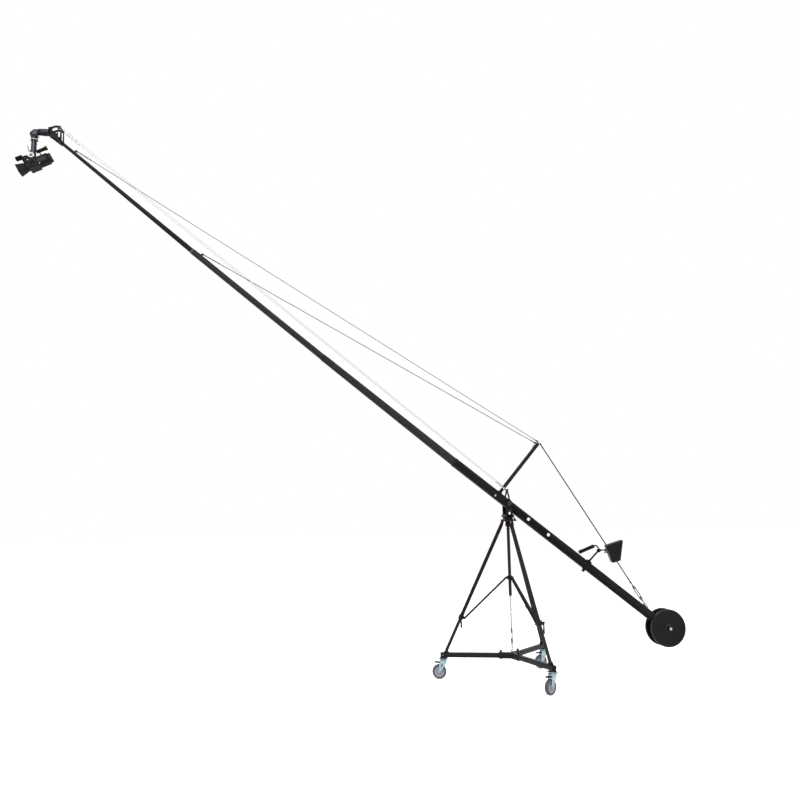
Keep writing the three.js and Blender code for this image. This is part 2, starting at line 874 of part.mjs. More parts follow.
// The wheel's facets stand on the floor with one flat
function makeWheel(group, number) {
  const tread = caster.wheelRadius / Math.cos(Math.PI / wheelSides);
  const half = caster.wheelWidth / 2;
  const { rimRadius, rimWidth, webWidth, hubRadius, hubWidth, treadRound } = wheel;
  const bore = roomFor(caster.axleRadius, wheelSides);
  const sideOf = (sign) => [
    [bore, sign * hubWidth / 2], [hubRadius, sign * hubWidth / 2],
    [hubRadius + webWidth / 2, sign * webWidth / 2], [rimRadius - webWidth / 2, sign * webWidth / 2],
    [rimRadius, sign * rimWidth / 2], [tread - treadRound, sign * half],
    [tread, sign * (half - treadRound)],
  ];
  const profile = [...sideOf(-1), ...sideOf(1).reverse()];
  profile.push(profile[0]);
  const shape = turned(profile, [0, 0, 0], [0, 1, 0], wheelSides);
  add(group, `caster_wheel_${number}`, shape, 'tread');
}

function makePedal(group, number, cheekInside) {
  const half = cheekInside - pedal.sideClearance;
  const { hubRadius, reach, thickness, padLength, padRise } = pedal;
  const halfThick = thickness / 2;
  const shank = belt([[0, 0, hubRadius], [reach, padRise, halfThick]]);
  const pad = belt([[reach, padRise, halfThick], [reach + padLength, padRise - thickness, halfThick]]);
  const body = join(sidePlate(shank, -half, half), sidePlate(pad, -half, half));
  const hole = bored(pedal.pinRadius, [0, -half - cutOverrun, 0], [0, half + cutOverrun, 0]);
  add(group, `brake_pedal_${number}`, cut(body, hole), 'blackPlastic');
}

function makePanBase() {
  const low = crownTop + gap;
  const { discRadius, discThickness, spindleRadius, spindleLength } = panBase;
  const shape = turned([
    [0, 0], [discRadius, 0], [discRadius, discThickness], [spindleRadius, discThickness],
    [spindleRadius, discThickness + spindleLength], [0, discThickness + spindleLength],
  ], [0, 0, low], [0, 0, low + discThickness]);
  add(crane, 'pan_base', shape, 'satinBlack');
}

// Two cheeks on a block, drawn in above the arm to the bolt that holds the levelling cables
function makeYoke() {
  const group = subGroup(crane, [0, 0, pivotHeight]);
  const { inside, plateThickness, plateHalfWidth, stripHalfWidth, stripFoot, bendRise } = yoke;
  const outside = inside + plateThickness;
  const foot = yoke.footRise - yoke.pivotRise;
  const blockLow = panBase.discThickness + gap + gap - yoke.pivotRise;
  const blockHigh = yoke.blockRise - yoke.pivotRise;
  const cheek = outline([
    [-plateHalfWidth, foot], [plateHalfWidth, foot], [plateHalfWidth, yoke.shoulderRise],
    [stripHalfWidth, stripFoot], [-stripHalfWidth, stripFoot], [-plateHalfWidth, yoke.shoulderRise],
  ]);
  const pinTop = linkRise + linkPin.radius;
  const stripIn = linkPin.yokeY - linkPin.eyeWidth / 2 - gap;
  const bendTop = linkRise - plateThickness - plateThickness;
  const stripOf = (side) => crossPlate(outline([
    [side * inside, stripFoot - plateThickness], [side * outside, stripFoot - plateThickness],
    [side * outside, bendRise], [side * stripIn, bendTop], [side * stripIn, pinTop],
    [side * (stripIn - plateThickness), pinTop],
    [side * (stripIn - plateThickness), bendTop - plateThickness / 2],
    [side * inside, bendRise - plateThickness / 2],
  ]), -stripHalfWidth, stripHalfWidth);
  const pinEnd = linkPin.yokeY + linkPin.eyeWidth;
  const nutRoom = linkPin.yokeY + linkPin.eyeWidth / 2 + gap;
  const body = join(
    pairOfPlates(cheek, inside, plateThickness),
    block([-yoke.blockHalfLength, -outside, blockLow], [yoke.blockHalfLength, outside, blockHigh]),
    stripOf(1),
    stripOf(-1),
    rod(linkPin.radius, [0, -pinEnd, linkRise], [0, pinEnd, linkRise]),
    ...[-1, 1].map((side) => rod(linkPin.eyeRadius - gap, [0, side * nutRoom, linkRise],
      [0, side * pinEnd, linkRise], nutSides)),
  );
  const slot = belt([
    [0, yoke.slotPlace - yoke.slotHalfHeight + yoke.slotHalfWidth, yoke.slotHalfWidth],
    [0, yoke.slotPlace + yoke.slotHalfHeight - yoke.slotHalfWidth, yoke.slotHalfWidth],
  ]);
  const spindleHole = bored(panBase.spindleRadius, [0, 0, blockLow - cutOverrun],
    [0, 0, blockLow + panBase.spindleLength], roundSides);
  const pivotHole = bored(pivot.radius, [0, -outside - cutOverrun, 0],
    [0, outside + cutOverrun, 0], roundSides);
  const lockX = yoke.blockHalfLength + panLock.stemLength;
  const lockZ = panLock.rise - yoke.pivotRise;
  const lockStem = rod(panLock.stemRadius, [yoke.blockHalfLength - gap, 0, lockZ],
    [lockX + panLock.hubRadius, 0, lockZ]);
  const slots = sidePlate(slot, -outside - cutOverrun, outside + cutOverrun);
  const slotRoom = block([-plateHalfWidth, -inside, blockHigh], [plateHalfWidth, inside, 0]);
  const windows = asSolid(slots).subtract(asSolid(slotRoom));
  add(group, 'yoke', cut(join(body, lockStem), spindleHole, pivotHole, windows), 'satinBlack');

  const shaftEnd = outside + gap + pivot.headLength;
  const shaft = join(
    rod(pivot.radius, [0, -shaftEnd, 0], [0, shaftEnd, 0], roundSides),
    ...[-1, 1].map((side) => rod(pivot.headRadius, [0, side * (outside + gap), 0],
      [0, side * shaftEnd, 0], nutSides)),
  );
  add(group, 'pivot_shaft', shaft, 'steel');

  const handle = join(
    rod(panLock.hubRadius, [lockX, 0, lockZ], [lockX + panLock.hubRadius, 0, lockZ]),
    rod(panLock.gripRadius, [lockX + panLock.stemRadius, 0, lockZ],
      [lockX + panLock.gripReach, 0, lockZ - panLock.gripDrop]),
  );
  const handleHole = bored(panLock.stemRadius, [lockX - cutOverrun, 0, lockZ],
    [lockX + panLock.hubRadius + cutOverrun, 0, lockZ]);
  add(group, 'pan_lock_handle', cut(handle, handleHole), 'blackPlastic');
}

// The arm's own frame: x runs back along the rear section, z is square to it
const armGroup = subGroup(crane, [0, 0, pivotHeight], [0, arm.angle, 0]);
const tailGap = arm.wall + gap;
const innerAcross = (across) => across - 2 * tailGap;
const sections = [
  { name: 'arm_front_3', from: innerAcross(arm.rearAcross), to: frontAcross.third },
  { name: 'arm_front_2', from: innerAcross(frontAcross.third), to: frontAcross.second },
  { name: 'arm_front_1', from: innerAcross(frontAcross.second), to: frontAcross.first },
];
const tipDistance = arm.rearReach + sections.length * arm.sectionLength;
const stayAnchors = {
  long: tipDistance - stayInsets.long,
  short: tipDistance - arm.sectionLength - stayInsets.short,
  rear: arm.rearEnd - stayInsets.rear,
};

// A point so far ahead of the pivot and so far above the arm's middle, with the camber followed
function aheadOfPivot(distance, rise) {
  let [x, z, left] = [0, 0, distance];
  let camber = 0;
  for (let length = arm.rearReach; left > length; length = arm.sectionLength) {
    x -= length * Math.cos(radians(camber));
    z += length * Math.sin(radians(camber));
    camber += arm.camberAngle;
    left -= length;
  }
  const [cosine, sine] = [Math.cos(radians(camber)), Math.sin(radians(camber))];
  return [x - left * cosine + rise * sine, 0, z + left * sine + rise * cosine];
}

// Half the arm's width so far ahead of the pivot
function halfAcross(distance) {
  const index = Math.floor((distance - arm.rearReach) / arm.sectionLength);
  if (distance < arm.rearReach) return arm.rearAcross / 2;
  const { from, to } = sections[index];
  const share = (distance - arm.rearReach) / arm.sectionLength - index;
  return THREE.MathUtils.lerp(from, to, share) / 2;
}

// An upright ear for a stay, standing on a surface of the arm
function stayLug(x, surface) {
  const half = lug.thickness / 2;
  const { radius, rise, pinRadius } = lug;
  const base = arm.wall / 3;
  const shape = belt([
    [x - radius, surface - base, base], [x + radius, surface - base, base], [x, surface + rise, radius],
  ]);
  const top = surface + rise;
  const hole = bored(pinRadius, [x, -half - cutOverrun, top], [x, half + cutOverrun, top]);
  return cut(sidePlate(shape, -half, half), hole);
}

function makeRearSection() {
  const { rearAcross, wall, rearEnd, rearReach, endWall } = arm;
  const half = rearAcross / 2;
  const outer = octagonRadius(rearAcross);
  const inner = octagonRadius(rearAcross - 2 * wall);
  const tube = rod(outer, [-rearReach, 0, 0], [rearEnd, 0, 0], armSides);
  const hollow = rod(inner, [-rearReach - cutOverrun, 0, 0], [rearEnd - endWall, 0, 0], armSides);
  const bossEnd = yoke.inside - gap;
  const pivotBoss = rod(pivot.bossRadius, [0, -bossEnd, 0], [0, bossEnd, 0], roundSides);
  const spareEnd = half + wall;
  const spares = spareBore.places.map((x) => (
    rod(spareBore.tubeRadius, [x, -spareEnd, 0], [x, spareEnd, 0], roundSides)
  ));
  const axleBoss = rod(weight.collarRadius, [weight.place, -half, 0], [weight.place, half, 0], roundSides);
  const stand = new THREE.Matrix4().makeRotationY(radians(mast.leanAngle)).setPosition(-mast.foot, 0, half);
  const socket = turned([
    [0, 0], [mast.flareRadius, 0], [mast.flareRadius, wall], [mast.bore - gap, mast.flareHeight + wall],
    [mast.bore - gap, mast.ringPlace + wall], [mast.ringRadius, mast.ringPlace + wall],
    [mast.ringRadius, mast.ringPlace + mast.ringHeight + wall],
    [mast.bore - gap, mast.ringPlace + mast.ringHeight + wall],
    [mast.bore - gap, mast.spigotLength + wall], [0, mast.spigotLength + wall],
  ], [0, 0, -wall], [0, 0, 0]).applyMatrix4(stand);
  const body = cut(tube, hollow);
  const fitted = join(body, pivotBoss, ...spares, axleBoss, stayLug(stayAnchors.rear, half));
  const topFlat = block([-mast.foot - half, -half, half - wall],
    [half - mast.foot, half, half + mast.height]);
  const placedSocket = asSolid(socket).intersect(asSolid(topFlat));
  const bores = [
    bored(pivot.radius, [0, -bossEnd - cutOverrun, 0], [0, bossEnd + cutOverrun, 0], roundSides),
    bored(weight.axleRadius, [weight.place, -half - cutOverrun, 0],
      [weight.place, half + cutOverrun, 0], roundSides),
    ...spareBore.places.map((x) => (
      rod(spareBore.bore, [x, -spareEnd - cutOverrun, 0], [x, spareEnd + cutOverrun, 0], roundSides)
    )),
  ];
  add(armGroup, 'arm_rear', cut(fitted.add(placedSocket), ...bores), 'blackPaint');
}

// An octagonal tube through stations: each a place along the arm, a rise, a width and a turn
function octagonTube(stations) {
  const cornerAngles = Array.from({ length: armSides }, (_, i) => (2 * i + 1) * Math.PI / armSides);
  const ringOf = ({ x, z, across, turn }) => cornerAngles.map((corner) => {
    const radius = octagonRadius(across);
    const height = radius * Math.sin(corner);
    return [x + height * Math.sin(turn), radius * Math.cos(corner), z + height * Math.cos(turn)];
  });
  const inner = stations.map((station) => ({ ...station, across: station.across - 2 * arm.wall }));
  const rings = [...stations, ...inner.reverse()].map(ringOf);
  const faces = [];
  rings.forEach((_, ring) => {
    const next = (ring + 1) % rings.length;
    for (let corner = 0; corner < armSides; corner += 1) {
      const beside = (corner + 1) % armSides;
      const [a, b] = [ring * armSides + corner, ring * armSides + beside];
      const [c, d] = [next * armSides + beside, next * armSides + corner];
      faces.push([a, b, c], [a, c, d]);
    }
  });
  return geometryOf(rings.flat(2), faces.flat());
}

// Each front section starts with a tail that lies in line with the section behind and slides into it
function makeFrontSections() {
  let group = subGroup(armGroup, [-arm.rearReach, 0, 0], [0, arm.camberAngle, 0]);
  const { tail, sectionLength } = arm;
  const camber = radians(arm.camberAngle);
  sections.forEach(({ name, from, to }, index) => {
    const isTip = index === sections.length - 1;
    const tubeEnd = isTip ? sectionLength - tipBoss.radius / 2 : sectionLength;
    let body = asSolid(octagonTube([
      { x: tail * Math.cos(camber), z: tail * Math.sin(camber), across: from, turn: -camber },
      { x: 0, z: 0, across: from, turn: -camber / 2 },
      { x: -tubeEnd, z: 0, across: to, turn: 0 },
    ]));
    if (isTip) body = finishTip(body, to);
    for (const anchor of [stayAnchors.long, stayAnchors.short]) {
      const place = anchor - arm.rearReach - index * sectionLength;
      if (place > 0 && place < sectionLength) body = body.add(stayLug(-place, halfAcross(anchor)));
    }
    add(group, name, body, 'blackPaint');
    if (!isTip) group = subGroup(group, [-sectionLength, 0, 0], [0, arm.camberAngle, 0]);
  });
}

function finishTip(body, across) {
  const { radius, halfWidth, pinRadius } = tipBoss;
  const x = -arm.sectionLength;
  const plug = rod(octagonRadius(across), [x + radius + radius, 0, 0], [x, 0, 0], armSides);
  const boss = rod(radius, [x, -halfWidth, 0], [x, halfWidth, 0], roundSides);
  const bore = bored(pinRadius, [x, -halfWidth - cutOverrun, 0], [x, halfWidth + cutOverrun, 0], roundSides);
  return cut(join(body, plug, boss), bore);
}

// A hole in the mast's head, in the arm's frame
function mastHole(x, drop) {
  const rise = mast.height + mast.headRise / 2 - drop;
  const [sine, cosine] = [Math.sin(radians(mast.leanAngle)), Math.cos(radians(mast.leanAngle))];
  return [-mast.foot + x * cosine + rise * sine, 0, arm.rearAcross / 2 - x * sine + rise * cosine];
}

function makeMast() {
  const group = subGroup(armGroup, [-mast.foot, 0, arm.rearAcross / 2], [0, mast.leanAngle, 0]);
  const { height, radius, bore, ringPlace, ringHeight, headRise, headReach, lowReach, lowDrop } = mast;
  const { headLobe, headThickness } = mast;
  const foot = ringPlace + ringHeight + gap;
  const half = headThickness / 2;
  const capDepth = headRise / 2;
  const tube = cut(
    turned([
      [0, foot], [radius, foot], [radius, height - gap], [radius / 2, height + capDepth / 2],
      [0, height + capDepth / 2],
    ], [0, 0, 0], [0, 0, foot]),
    rod(bore, [0, 0, foot - cutOverrun], [0, 0, height - capDepth], roundSides),
  );
  const rise = height + capDepth;
  const plate = sidePlate(belt([
    [headReach, rise, headLobe],
    [-headReach, rise, headLobe],
    [-lowReach, rise - lowDrop, headLobe],
    [-radius, height - headRise - headRise, headLobe / 2],
    [headLobe, height - headRise, headLobe / 2],
  ]), -half, half);
  const holes = [[headReach, rise], [-headReach, rise], [-lowReach, rise - lowDrop]].map(([x, z]) => (
    bored(lug.pinRadius, [x, -half - cutOverrun, z], [x, half + cutOverrun, z])
  ));
  add(group, 'mast', cut(join(tube, plate), ...holes), 'blackPaint');
}

// A fork with its pin, at the start of a line that runs to +X
function forkEnd(inside) {
  const { thickness, radius, neck, bridge } = fork;
  const outside = inside + thickness;
  const cheek = belt([[0, 0, radius], [neck, 0, radius - thickness]]);
  return join(
    pairOfPlates(cheek, inside, thickness),
    rod(lug.pinRadius, [0, -outside - thickness / 2, 0], [0, outside + thickness / 2, 0], wireSides),
    block([neck - bridge, -outside, thickness - radius], [neck, outside, radius - thickness]),
  );
}

const slopeOf = (run) => THREE.MathUtils.radToDeg(Math.atan2(-run.z, run.x));

// A wire with barrel screws in it, in order, each given by its distance from the wire's start
function screwedWire(wireRadius, from, to, screws) {
  const { radius, halfLength, taper } = barrelScrew;
  const length = vector(from).distanceTo(vector(to));
  const profile = [[0, 0], [wireRadius, 0]];
  for (const middle of screws) {
    profile.push([wireRadius, middle - halfLength], [radius, middle - halfLength + taper]);
    profile.push([radius, middle + halfLength - taper], [wireRadius, middle + halfLength]);
  }
  profile.push([wireRadius, length], [0, length]);
  return turned(profile, from, to, wireSides);
}

// A stay from one pin to another, with a fork at both ends and barrel screws near its far end
function makeStay(name, from, to, radius, insides, screws) {
  const run = vector(to).sub(vector(from));
  const length = run.length();
  const group = subGroup(armGroup, from, [0, slopeOf(run), 0]);
  const wireStart = fork.neck - radius;
  const places = screws.map((place) => length - place - wireStart);
  const body = join(
    forkEnd(insides[0]),
    screwedWire(radius, [wireStart, 0, 0], [length - wireStart, 0, 0], places),
    geometryFrom(forkEnd(insides[1])).rotateZ(Math.PI).translate(length, 0, 0),
  );
  add(group, name, body, 'steel');
}

function makeStays() {
  const longPin = mastHole(-mast.headReach, 0);
  const shortPin = mastHole(-mast.lowReach, mast.lowDrop);
  const rearPin = mastHole(mast.headReach, 0);
  const headInside = mast.headThickness / 2 + gap;
  const lugInside = lug.thickness / 2 + gap;
  const longAnchor = aheadOfPivot(stayAnchors.long, halfAcross(stayAnchors.long) + lug.rise);
  const shortAnchor = aheadOfPivot(stayAnchors.short, halfAcross(stayAnchors.short) + lug.rise);
  const { frontRadius, rearRadius } = wire;
  const insides = [headInside, lugInside];
  makeStay('stay_front_long', longPin, longAnchor, frontRadius, insides, stayScrews.long);
  makeStay('stay_front_short', shortPin, shortAnchor, frontRadius, insides, stayScrews.short);

  const rearAnchor = vector([stayAnchors.rear, 0, arm.rearAcross / 2 + lug.rise]);
  const run = rearAnchor.clone().sub(vector(rearPin));
  const length = run.length();
  const split = vector(rearPin).addScaledVector(run, 1 - rearTensioner.length / length);
  makeStay('stay_rear', rearPin, [...split], rearRadius, insides, []);
  makeRearTensioner(subGroup(armGroup, [...split], [0, slopeOf(run), 0]));
}

// An open-bodied turnbuckle: an eye in the stay's fork, two rails, and a fork on the arm's lug
function makeRearTensioner(group) {
  const { length, halfWidth, railRadius, bossRadius, bossLength, rodRadius, rodLength } = rearTensioner;
  const half = lug.thickness / 2;
  const bodyStart = lug.radius + rodLength;
  const bodyEnd = length - fork.neck - rodLength;
  const railStart = bodyStart + bossLength / 2;
  const railEnd = bodyEnd - bossLength / 2;
  const eye = cut(
    rod(lug.radius, [0, -half, 0], [0, half, 0]),
    bored(lug.pinRadius, [0, -half - cutOverrun, 0], [0, half + cutOverrun, 0]),
  );
  const bridge = (x) => block([x - railRadius, -railRadius, -halfWidth],
    [x + railRadius, railRadius, halfWidth]);
  const body = join(
    eye,
    rod(half, [lug.radius - half / 2, 0, 0], [bodyStart + rodLength + bossLength, 0, 0], wireSides),
    rod(bossRadius, [bodyStart, 0, 0], [bodyStart + bossLength, 0, 0]),
    rod(bossRadius, [bodyEnd - bossLength, 0, 0], [bodyEnd, 0, 0]),
    bridge(railStart),
    bridge(railEnd),
    rod(railRadius, [railStart, 0, halfWidth], [railEnd, 0, halfWidth], wireSides),
    rod(railRadius, [railStart, 0, -halfWidth], [railEnd, 0, -halfWidth], wireSides),
    rod(rodRadius, [bodyEnd - bossLength - rodLength, 0, 0],
      [length - fork.neck + rodRadius, 0, 0], wireSides),
    geometryFrom(forkEnd(half + gap)).rotateZ(Math.PI).translate(length, 0, 0),
  );
  add(group, 'rear_turnbuckle', body, 'steel');
}

function makeWeights() {
  const group = subGroup(armGroup, [weight.place, 0, 0]);
  const {
    plateRadius, plateThickness, rimWidth, rimDepth, hubRadius, axleRadius, collarRadius,
    knobRadius, knobLength, axleSpare,
  } = weight;
  const armHalf = arm.rearAcross / 2;
  const collarEnd = armHalf + gap + rimDepth;
  const plateStart = collarEnd + gap;
  const knobStart = plateStart + plateThickness + gap;
  const knobEnd = knobStart + knobLength;
  const axleEnd = knobEnd + axleSpare;
  const axle = join(
    rod(axleRadius, [0, -axleEnd, 0], [0, axleEnd, 0], roundSides),
    ...[-1, 1].map((side) => rod(collarRadius, [0, side * (armHalf + gap), 0],
      [0, side * collarEnd, 0], roundSides)),
  );
  add(group, 'weight_axle', axle, 'steel');
  for (const [side, place] of [[-1, 'near'], [1, 'far']]) {
    const bore = roomFor(axleRadius, roundSides);
    const faceDepth = plateThickness - rimDepth;
    const plate = turned([
      [bore, 0], [plateRadius - rimDepth, 0], [plateRadius, rimDepth],
      [plateRadius, plateThickness - rimDepth],
      [plateRadius - rimDepth, plateThickness], [plateRadius - rimWidth, plateThickness],
      [plateRadius - rimWidth - rimDepth, faceDepth], [hubRadius + rimDepth, faceDepth],
      [hubRadius, plateThickness], [bore, plateThickness], [bore, 0],
    ], [0, side * plateStart, 0], [0, side * (plateStart + plateThickness), 0], broadSides);
    add(group, `weight_plate_${place}`, plate, 'castIron');
    const grooves = Array.from({ length: weight.knobLobes }, (_, i) => {
      const turn = 2 * Math.PI * i / weight.knobLobes;
      const [x, z] = [knobRadius * Math.cos(turn), knobRadius * Math.sin(turn)];
      return rod(weight.knobGroove, [x, side * (knobStart - cutOverrun), z],
        [x, side * (knobEnd + cutOverrun), z]);
    });
    const knob = cut(
      rod(knobRadius, [0, side * knobStart, 0], [0, side * knobEnd, 0], roundSides),
      rod(bore, [0, side * (knobStart - cutOverrun), 0],
        [0, side * (knobEnd + cutOverrun), 0], roundSides),
      ...grooves,
    );
    add(group, `weight_knob_${place}`, knob, 'blackPlastic');
  }
}

// The band, strut and head that carry the steering grip and the monitor
function makeControls() {
  const { place, length, wall, headX, headRise, headRadius, headWidth, pinRadius, strutRadius } = band;
  const armHalf = arm.rearAcross / 2 + gap;
  const bandHalf = armHalf + wall;
  const [from, to] = [place - length / 2, place + length / 2];
  const footTop = bandHalf + band.footThickness;
  const knobTop = -bandHalf - band.stemLength;
  const halfHead = headWidth / 2;
  const eyeRoom = grip.eyeWidth / 2 + gap;
  const pinEnd = halfHead + monitor.armRadius + monitor.armRadius;
  const bandBody = cut(
    join(
      rod(octagonRadius(2 * bandHalf), [from, 0, 0], [to, 0, 0], armSides),
      block([place - band.footLength / 2, -band.footWidth / 2, bandHalf - wall / 2],
        [place + band.footLength / 2, band.footWidth / 2, footTop]),
      rod(band.stemRadius, [place, 0, -bandHalf + wall / 2], [place, 0, knobTop]),
      rod(band.knobRadius, [place, 0, knobTop], [place, 0, knobTop - band.knobLength], roundSides),
      rod(strutRadius, [place, 0, footTop - wall], [headX, 0, headRise - headRadius + wall]),
      rod(headRadius, [headX, -halfHead, headRise], [headX, halfHead, headRise], roundSides),
    ),
    rod(octagonRadius(2 * armHalf), [from - cutOverrun, 0, 0], [to + cutOverrun, 0, 0], armSides),
    block([headX - headRadius - cutOverrun, -eyeRoom, headRise - grip.eyeRadius - gap],
      [headX + headRadius + cutOverrun, eyeRoom, headRise + headRadius + cutOverrun]),
  );
  const pin = rod(pinRadius, [headX, -pinEnd, headRise], [headX, halfHead - gap, headRise]);
  add(armGroup, 'control_bracket', join(bandBody, pin), 'satinBlack');

  const { radius, rodRadius, lowX, lowRise, highX, highRise, eyeRadius, eyeWidth } = grip;
  const direction = vector([highX - lowX, 0, highRise - lowRise]).normalize();
  const bendStart = vector([highX, 0, highRise]).addScaledVector(direction, -rodRadius);
  const bendPeak = vector([highX, 0, highRise]).addScaledVector(direction, rodRadius + eyeRadius);
  const bendEnd = vector([headX - eyeRadius + rodRadius / 2, 0, headRise]);
  const neck = new THREE.QuadraticBezierCurve3(bendStart, bendPeak, bendEnd);
  const section = new THREE.Shape().absarc(0, 0, rodRadius, 0, 2 * Math.PI, false);
  const bent = new THREE.ExtrudeGeometry(section, {
    steps: curveSides, curveSegments: curveSides / 2, extrudePath: neck,
  });
  const half = eyeWidth / 2;
  const foamLength = Math.hypot(highX - lowX, highRise - lowRise);
  const foam = turned([
    [0, 0], [radius - rodRadius / 2, 0], [radius, rodRadius / 2],
    [radius, foamLength - rodRadius / 2], [radius - rodRadius / 2, foamLength], [0, foamLength],
  ], [lowX, 0, lowRise], [highX, 0, highRise]);
  const body = cut(
    join(foam, bent, rod(eyeRadius, [headX, -half, headRise], [headX, half, headRise])),
    bored(pinRadius, [headX, -half - cutOverrun, headRise], [headX, half + cutOverrun, headRise]),
  );
  add(armGroup, 'control_grip', body, 'foam');
}

function makeMonitor() {
  const { headX, headRise, headWidth, pinRadius } = band;
  const {
    width, height, panelDepth, hoodTop, hoodBottom, hoodWall, armRadius, armY, armX, armRise,
    knuckleRadius, knuckleHeight, mountDrop, postRadius,
  } = monitor;
  const level = subGroup(armGroup, [headX, 0, headRise], [0, -arm.angle, 0]);
  const eyeStart = -headWidth / 2 - gap;
  const eyeEnd = eyeStart - armRadius - armRadius;
  const eye = cut(
    rod(band.headRadius - armRadius / 2, [0, eyeStart, 0], [0, eyeEnd, 0]),
    bored(pinRadius, [0, eyeStart + cutOverrun, 0], [0, eyeEnd - cutOverrun, 0]),
  );
  const elbow = [armX, armY, armRise];
  const knuckleTop = armRise + knuckleHeight / 2;
  const armBody = join(
    eye,
    rod(armRadius, [armRadius + pinRadius, eyeEnd + armRadius, 0], elbow),
    rod(knuckleRadius, [armX, armY, knuckleTop - knuckleHeight], [armX, armY, knuckleTop], roundSides),
    rod(monitor.pinRadius, [armX, armY, knuckleTop - knuckleHeight - knuckleHeight],
      [armX, armY, knuckleTop]),
  );
  add(level, 'monitor_arm', armBody, 'satinBlack');

  // The monitor hangs on the knuckle's pin by a post behind its back
  const swivel = subGroup(level, [armX, armY, 0], [0, -monitor.tiltAngle, -monitor.yawAngle], 'ZYX');
  const back = knuckleRadius + postRadius / 2;
  const [low, high] = [-height + mountDrop, mountDrop];
  const half = width / 2;
  const wedge = (inset, frontExtra) => sidePlate(outline([
    [back + (inset ? panelDepth : 0), low + inset],
    [back + hoodBottom + frontExtra, low + inset],
    [back + hoodTop + frontExtra, high - inset],
    [back + (inset ? panelDepth : 0), high - inset],
  ]), inset - half, half - inset);
  const shell = cut(wedge(0, 0), wedge(hoodWall, cutOverrun));
  const seatTop = armRise + knuckleHeight / 2 - knuckleHeight - gap;
  const ear = join(
    rod(knuckleRadius, [0, 0, seatTop - knuckleHeight + monitor.pinRadius], [0, 0, seatTop], roundSides),
    block([0, -postRadius, seatTop - knuckleHeight + monitor.pinRadius],
      [back + hoodWall, postRadius, seatTop]),
  );
  const untilt = new THREE.Matrix4().makeRotationY(radians(monitor.tiltAngle));
  const levelEar = asSolid(geometryFrom(ear).applyMatrix4(untilt));
  const pinHole = bored(monitor.pinRadius, [0, 0, seatTop - knuckleHeight - knuckleHeight],
    [0, 0, seatTop + cutOverrun]);
  const levelHole = asSolid(pinHole.applyMatrix4(untilt));
  add(swivel, 'monitor', shell.add(levelEar).subtract(levelHole), 'blackPlastic');
}

// The levelling cables run from the yoke to the tip bracket, level with the line between pivots
function makeLevellingCables() {
  const [tipX, , tipZ] = aheadOfPivot(tipDistance, 0);
  const chord = Math.hypot(tipX, tipZ);
  const chordAngle = arm.angle + THREE.MathUtils.radToDeg(Math.atan2(tipZ, -tipX));
  const group = subGroup(crane, [0, 0, pivotHeight + linkRise], [0, chordAngle, 0]);
  const { radius, yokeY, tipY, eyeRadius, eyeWidth } = linkPin;
  const half = eyeWidth / 2;
  for (const [side, place] of [[-1, 'near'], [1, 'far']]) {
    const [yokeEnd, tipEnd] = [side * yokeY, side * tipY];
    const at = (distance) => [-distance, THREE.MathUtils.lerp(yokeEnd, tipEnd, distance / chord), 0];
    const ring = (x, y, hole) => cut(
      rod(eyeRadius, [x, y - half, 0], [x, y + half, 0]),
      bored(hole, [x, y - half - cutOverrun, 0], [x, y + half + cutOverrun, 0]),
    );
    const wireStart = eyeRadius - radius / 2;
    const { yoke: yokeScrew, tipFar, tipNear } = screwPlaces;
    const screws = [yokeScrew, chord - tipFar, chord - tipNear].map((middle) => middle - wireStart);
    const body = join(
      ring(0, yokeEnd, radius),
      ring(-chord, tipEnd, radius + linkGap),
      screwedWire(wire.levelRadius, at(wireStart), at(chord - wireStart), screws),
    );
    add(group, `level_cable_${place}`, body, 'steel');
  }
}

// Everything ahead of the tip pivot keeps level
function makeTip() {
  const [tipX, , tipZ] = aheadOfPivot(tipDistance, 0);
  const bracket = subGroup(armGroup, [tipX, 0, tipZ], [0, -arm.angle, 0]);
  const { plateInside, plateThickness, frontX, frontHigh, frontLow, frontRadius, blockLength } = tip;
  const plateOutside = plateInside + plateThickness;
  const crestZ = linkRise + tip.crestRise;
  const side = belt([
    [0, 0, tip.pivotRadius],
    [0, linkRise, tip.topRadius],
    [tip.crestX, crestZ, tip.crestRadius],
    [frontX, frontHigh, frontRadius],
    [frontX, frontLow, frontRadius],
  ]);
  const windowRadius = tip.topRadius * 2 / 3;
  side.holes.push(belt([
    [-tip.topRadius, frontLow - frontRadius, windowRadius],
    [-tip.topRadius, linkRise - frontRadius - tip.topRadius / 2, windowRadius],
    [tip.crestX, linkRise - frontRadius - tip.topRadius / 2, windowRadius],
    [tip.crestX - frontRadius, frontHigh - frontRadius - tip.topRadius, windowRadius],
  ]));
  const eyeEnd = linkPin.tipY + linkPin.eyeWidth / 2 + gap;
  const pinEnd = eyeEnd + linkPin.eyeWidth;
  const pivotEnd = plateOutside + tip.nutLength;
  const body = join(
    pairOfPlates(side, plateInside, plateThickness),
    block([frontX - frontRadius, -plateOutside, frontLow - frontRadius],
      [frontX - frontRadius + blockLength, plateOutside, frontHigh + frontRadius]),
    rod(tipBoss.pinRadius, [0, -pivotEnd, 0], [0, pivotEnd, 0], roundSides),
    rod(linkPin.radius, [0, -pinEnd, linkRise], [0, pinEnd, linkRise]),
    ...[-1, 1].flatMap((end) => [
      rod(tip.nutRadius, [0, end * (plateOutside - gap), 0], [0, end * pivotEnd, 0], nutSides),
      rod(linkPin.eyeRadius - gap, [0, end * eyeEnd, linkRise], [0, end * pinEnd, linkRise], nutSides),
    ]),
  );
  add(bracket, 'tip_bracket', body, 'satinBlack');
  makeHead(bracket, frontX - frontRadius - gap);
}

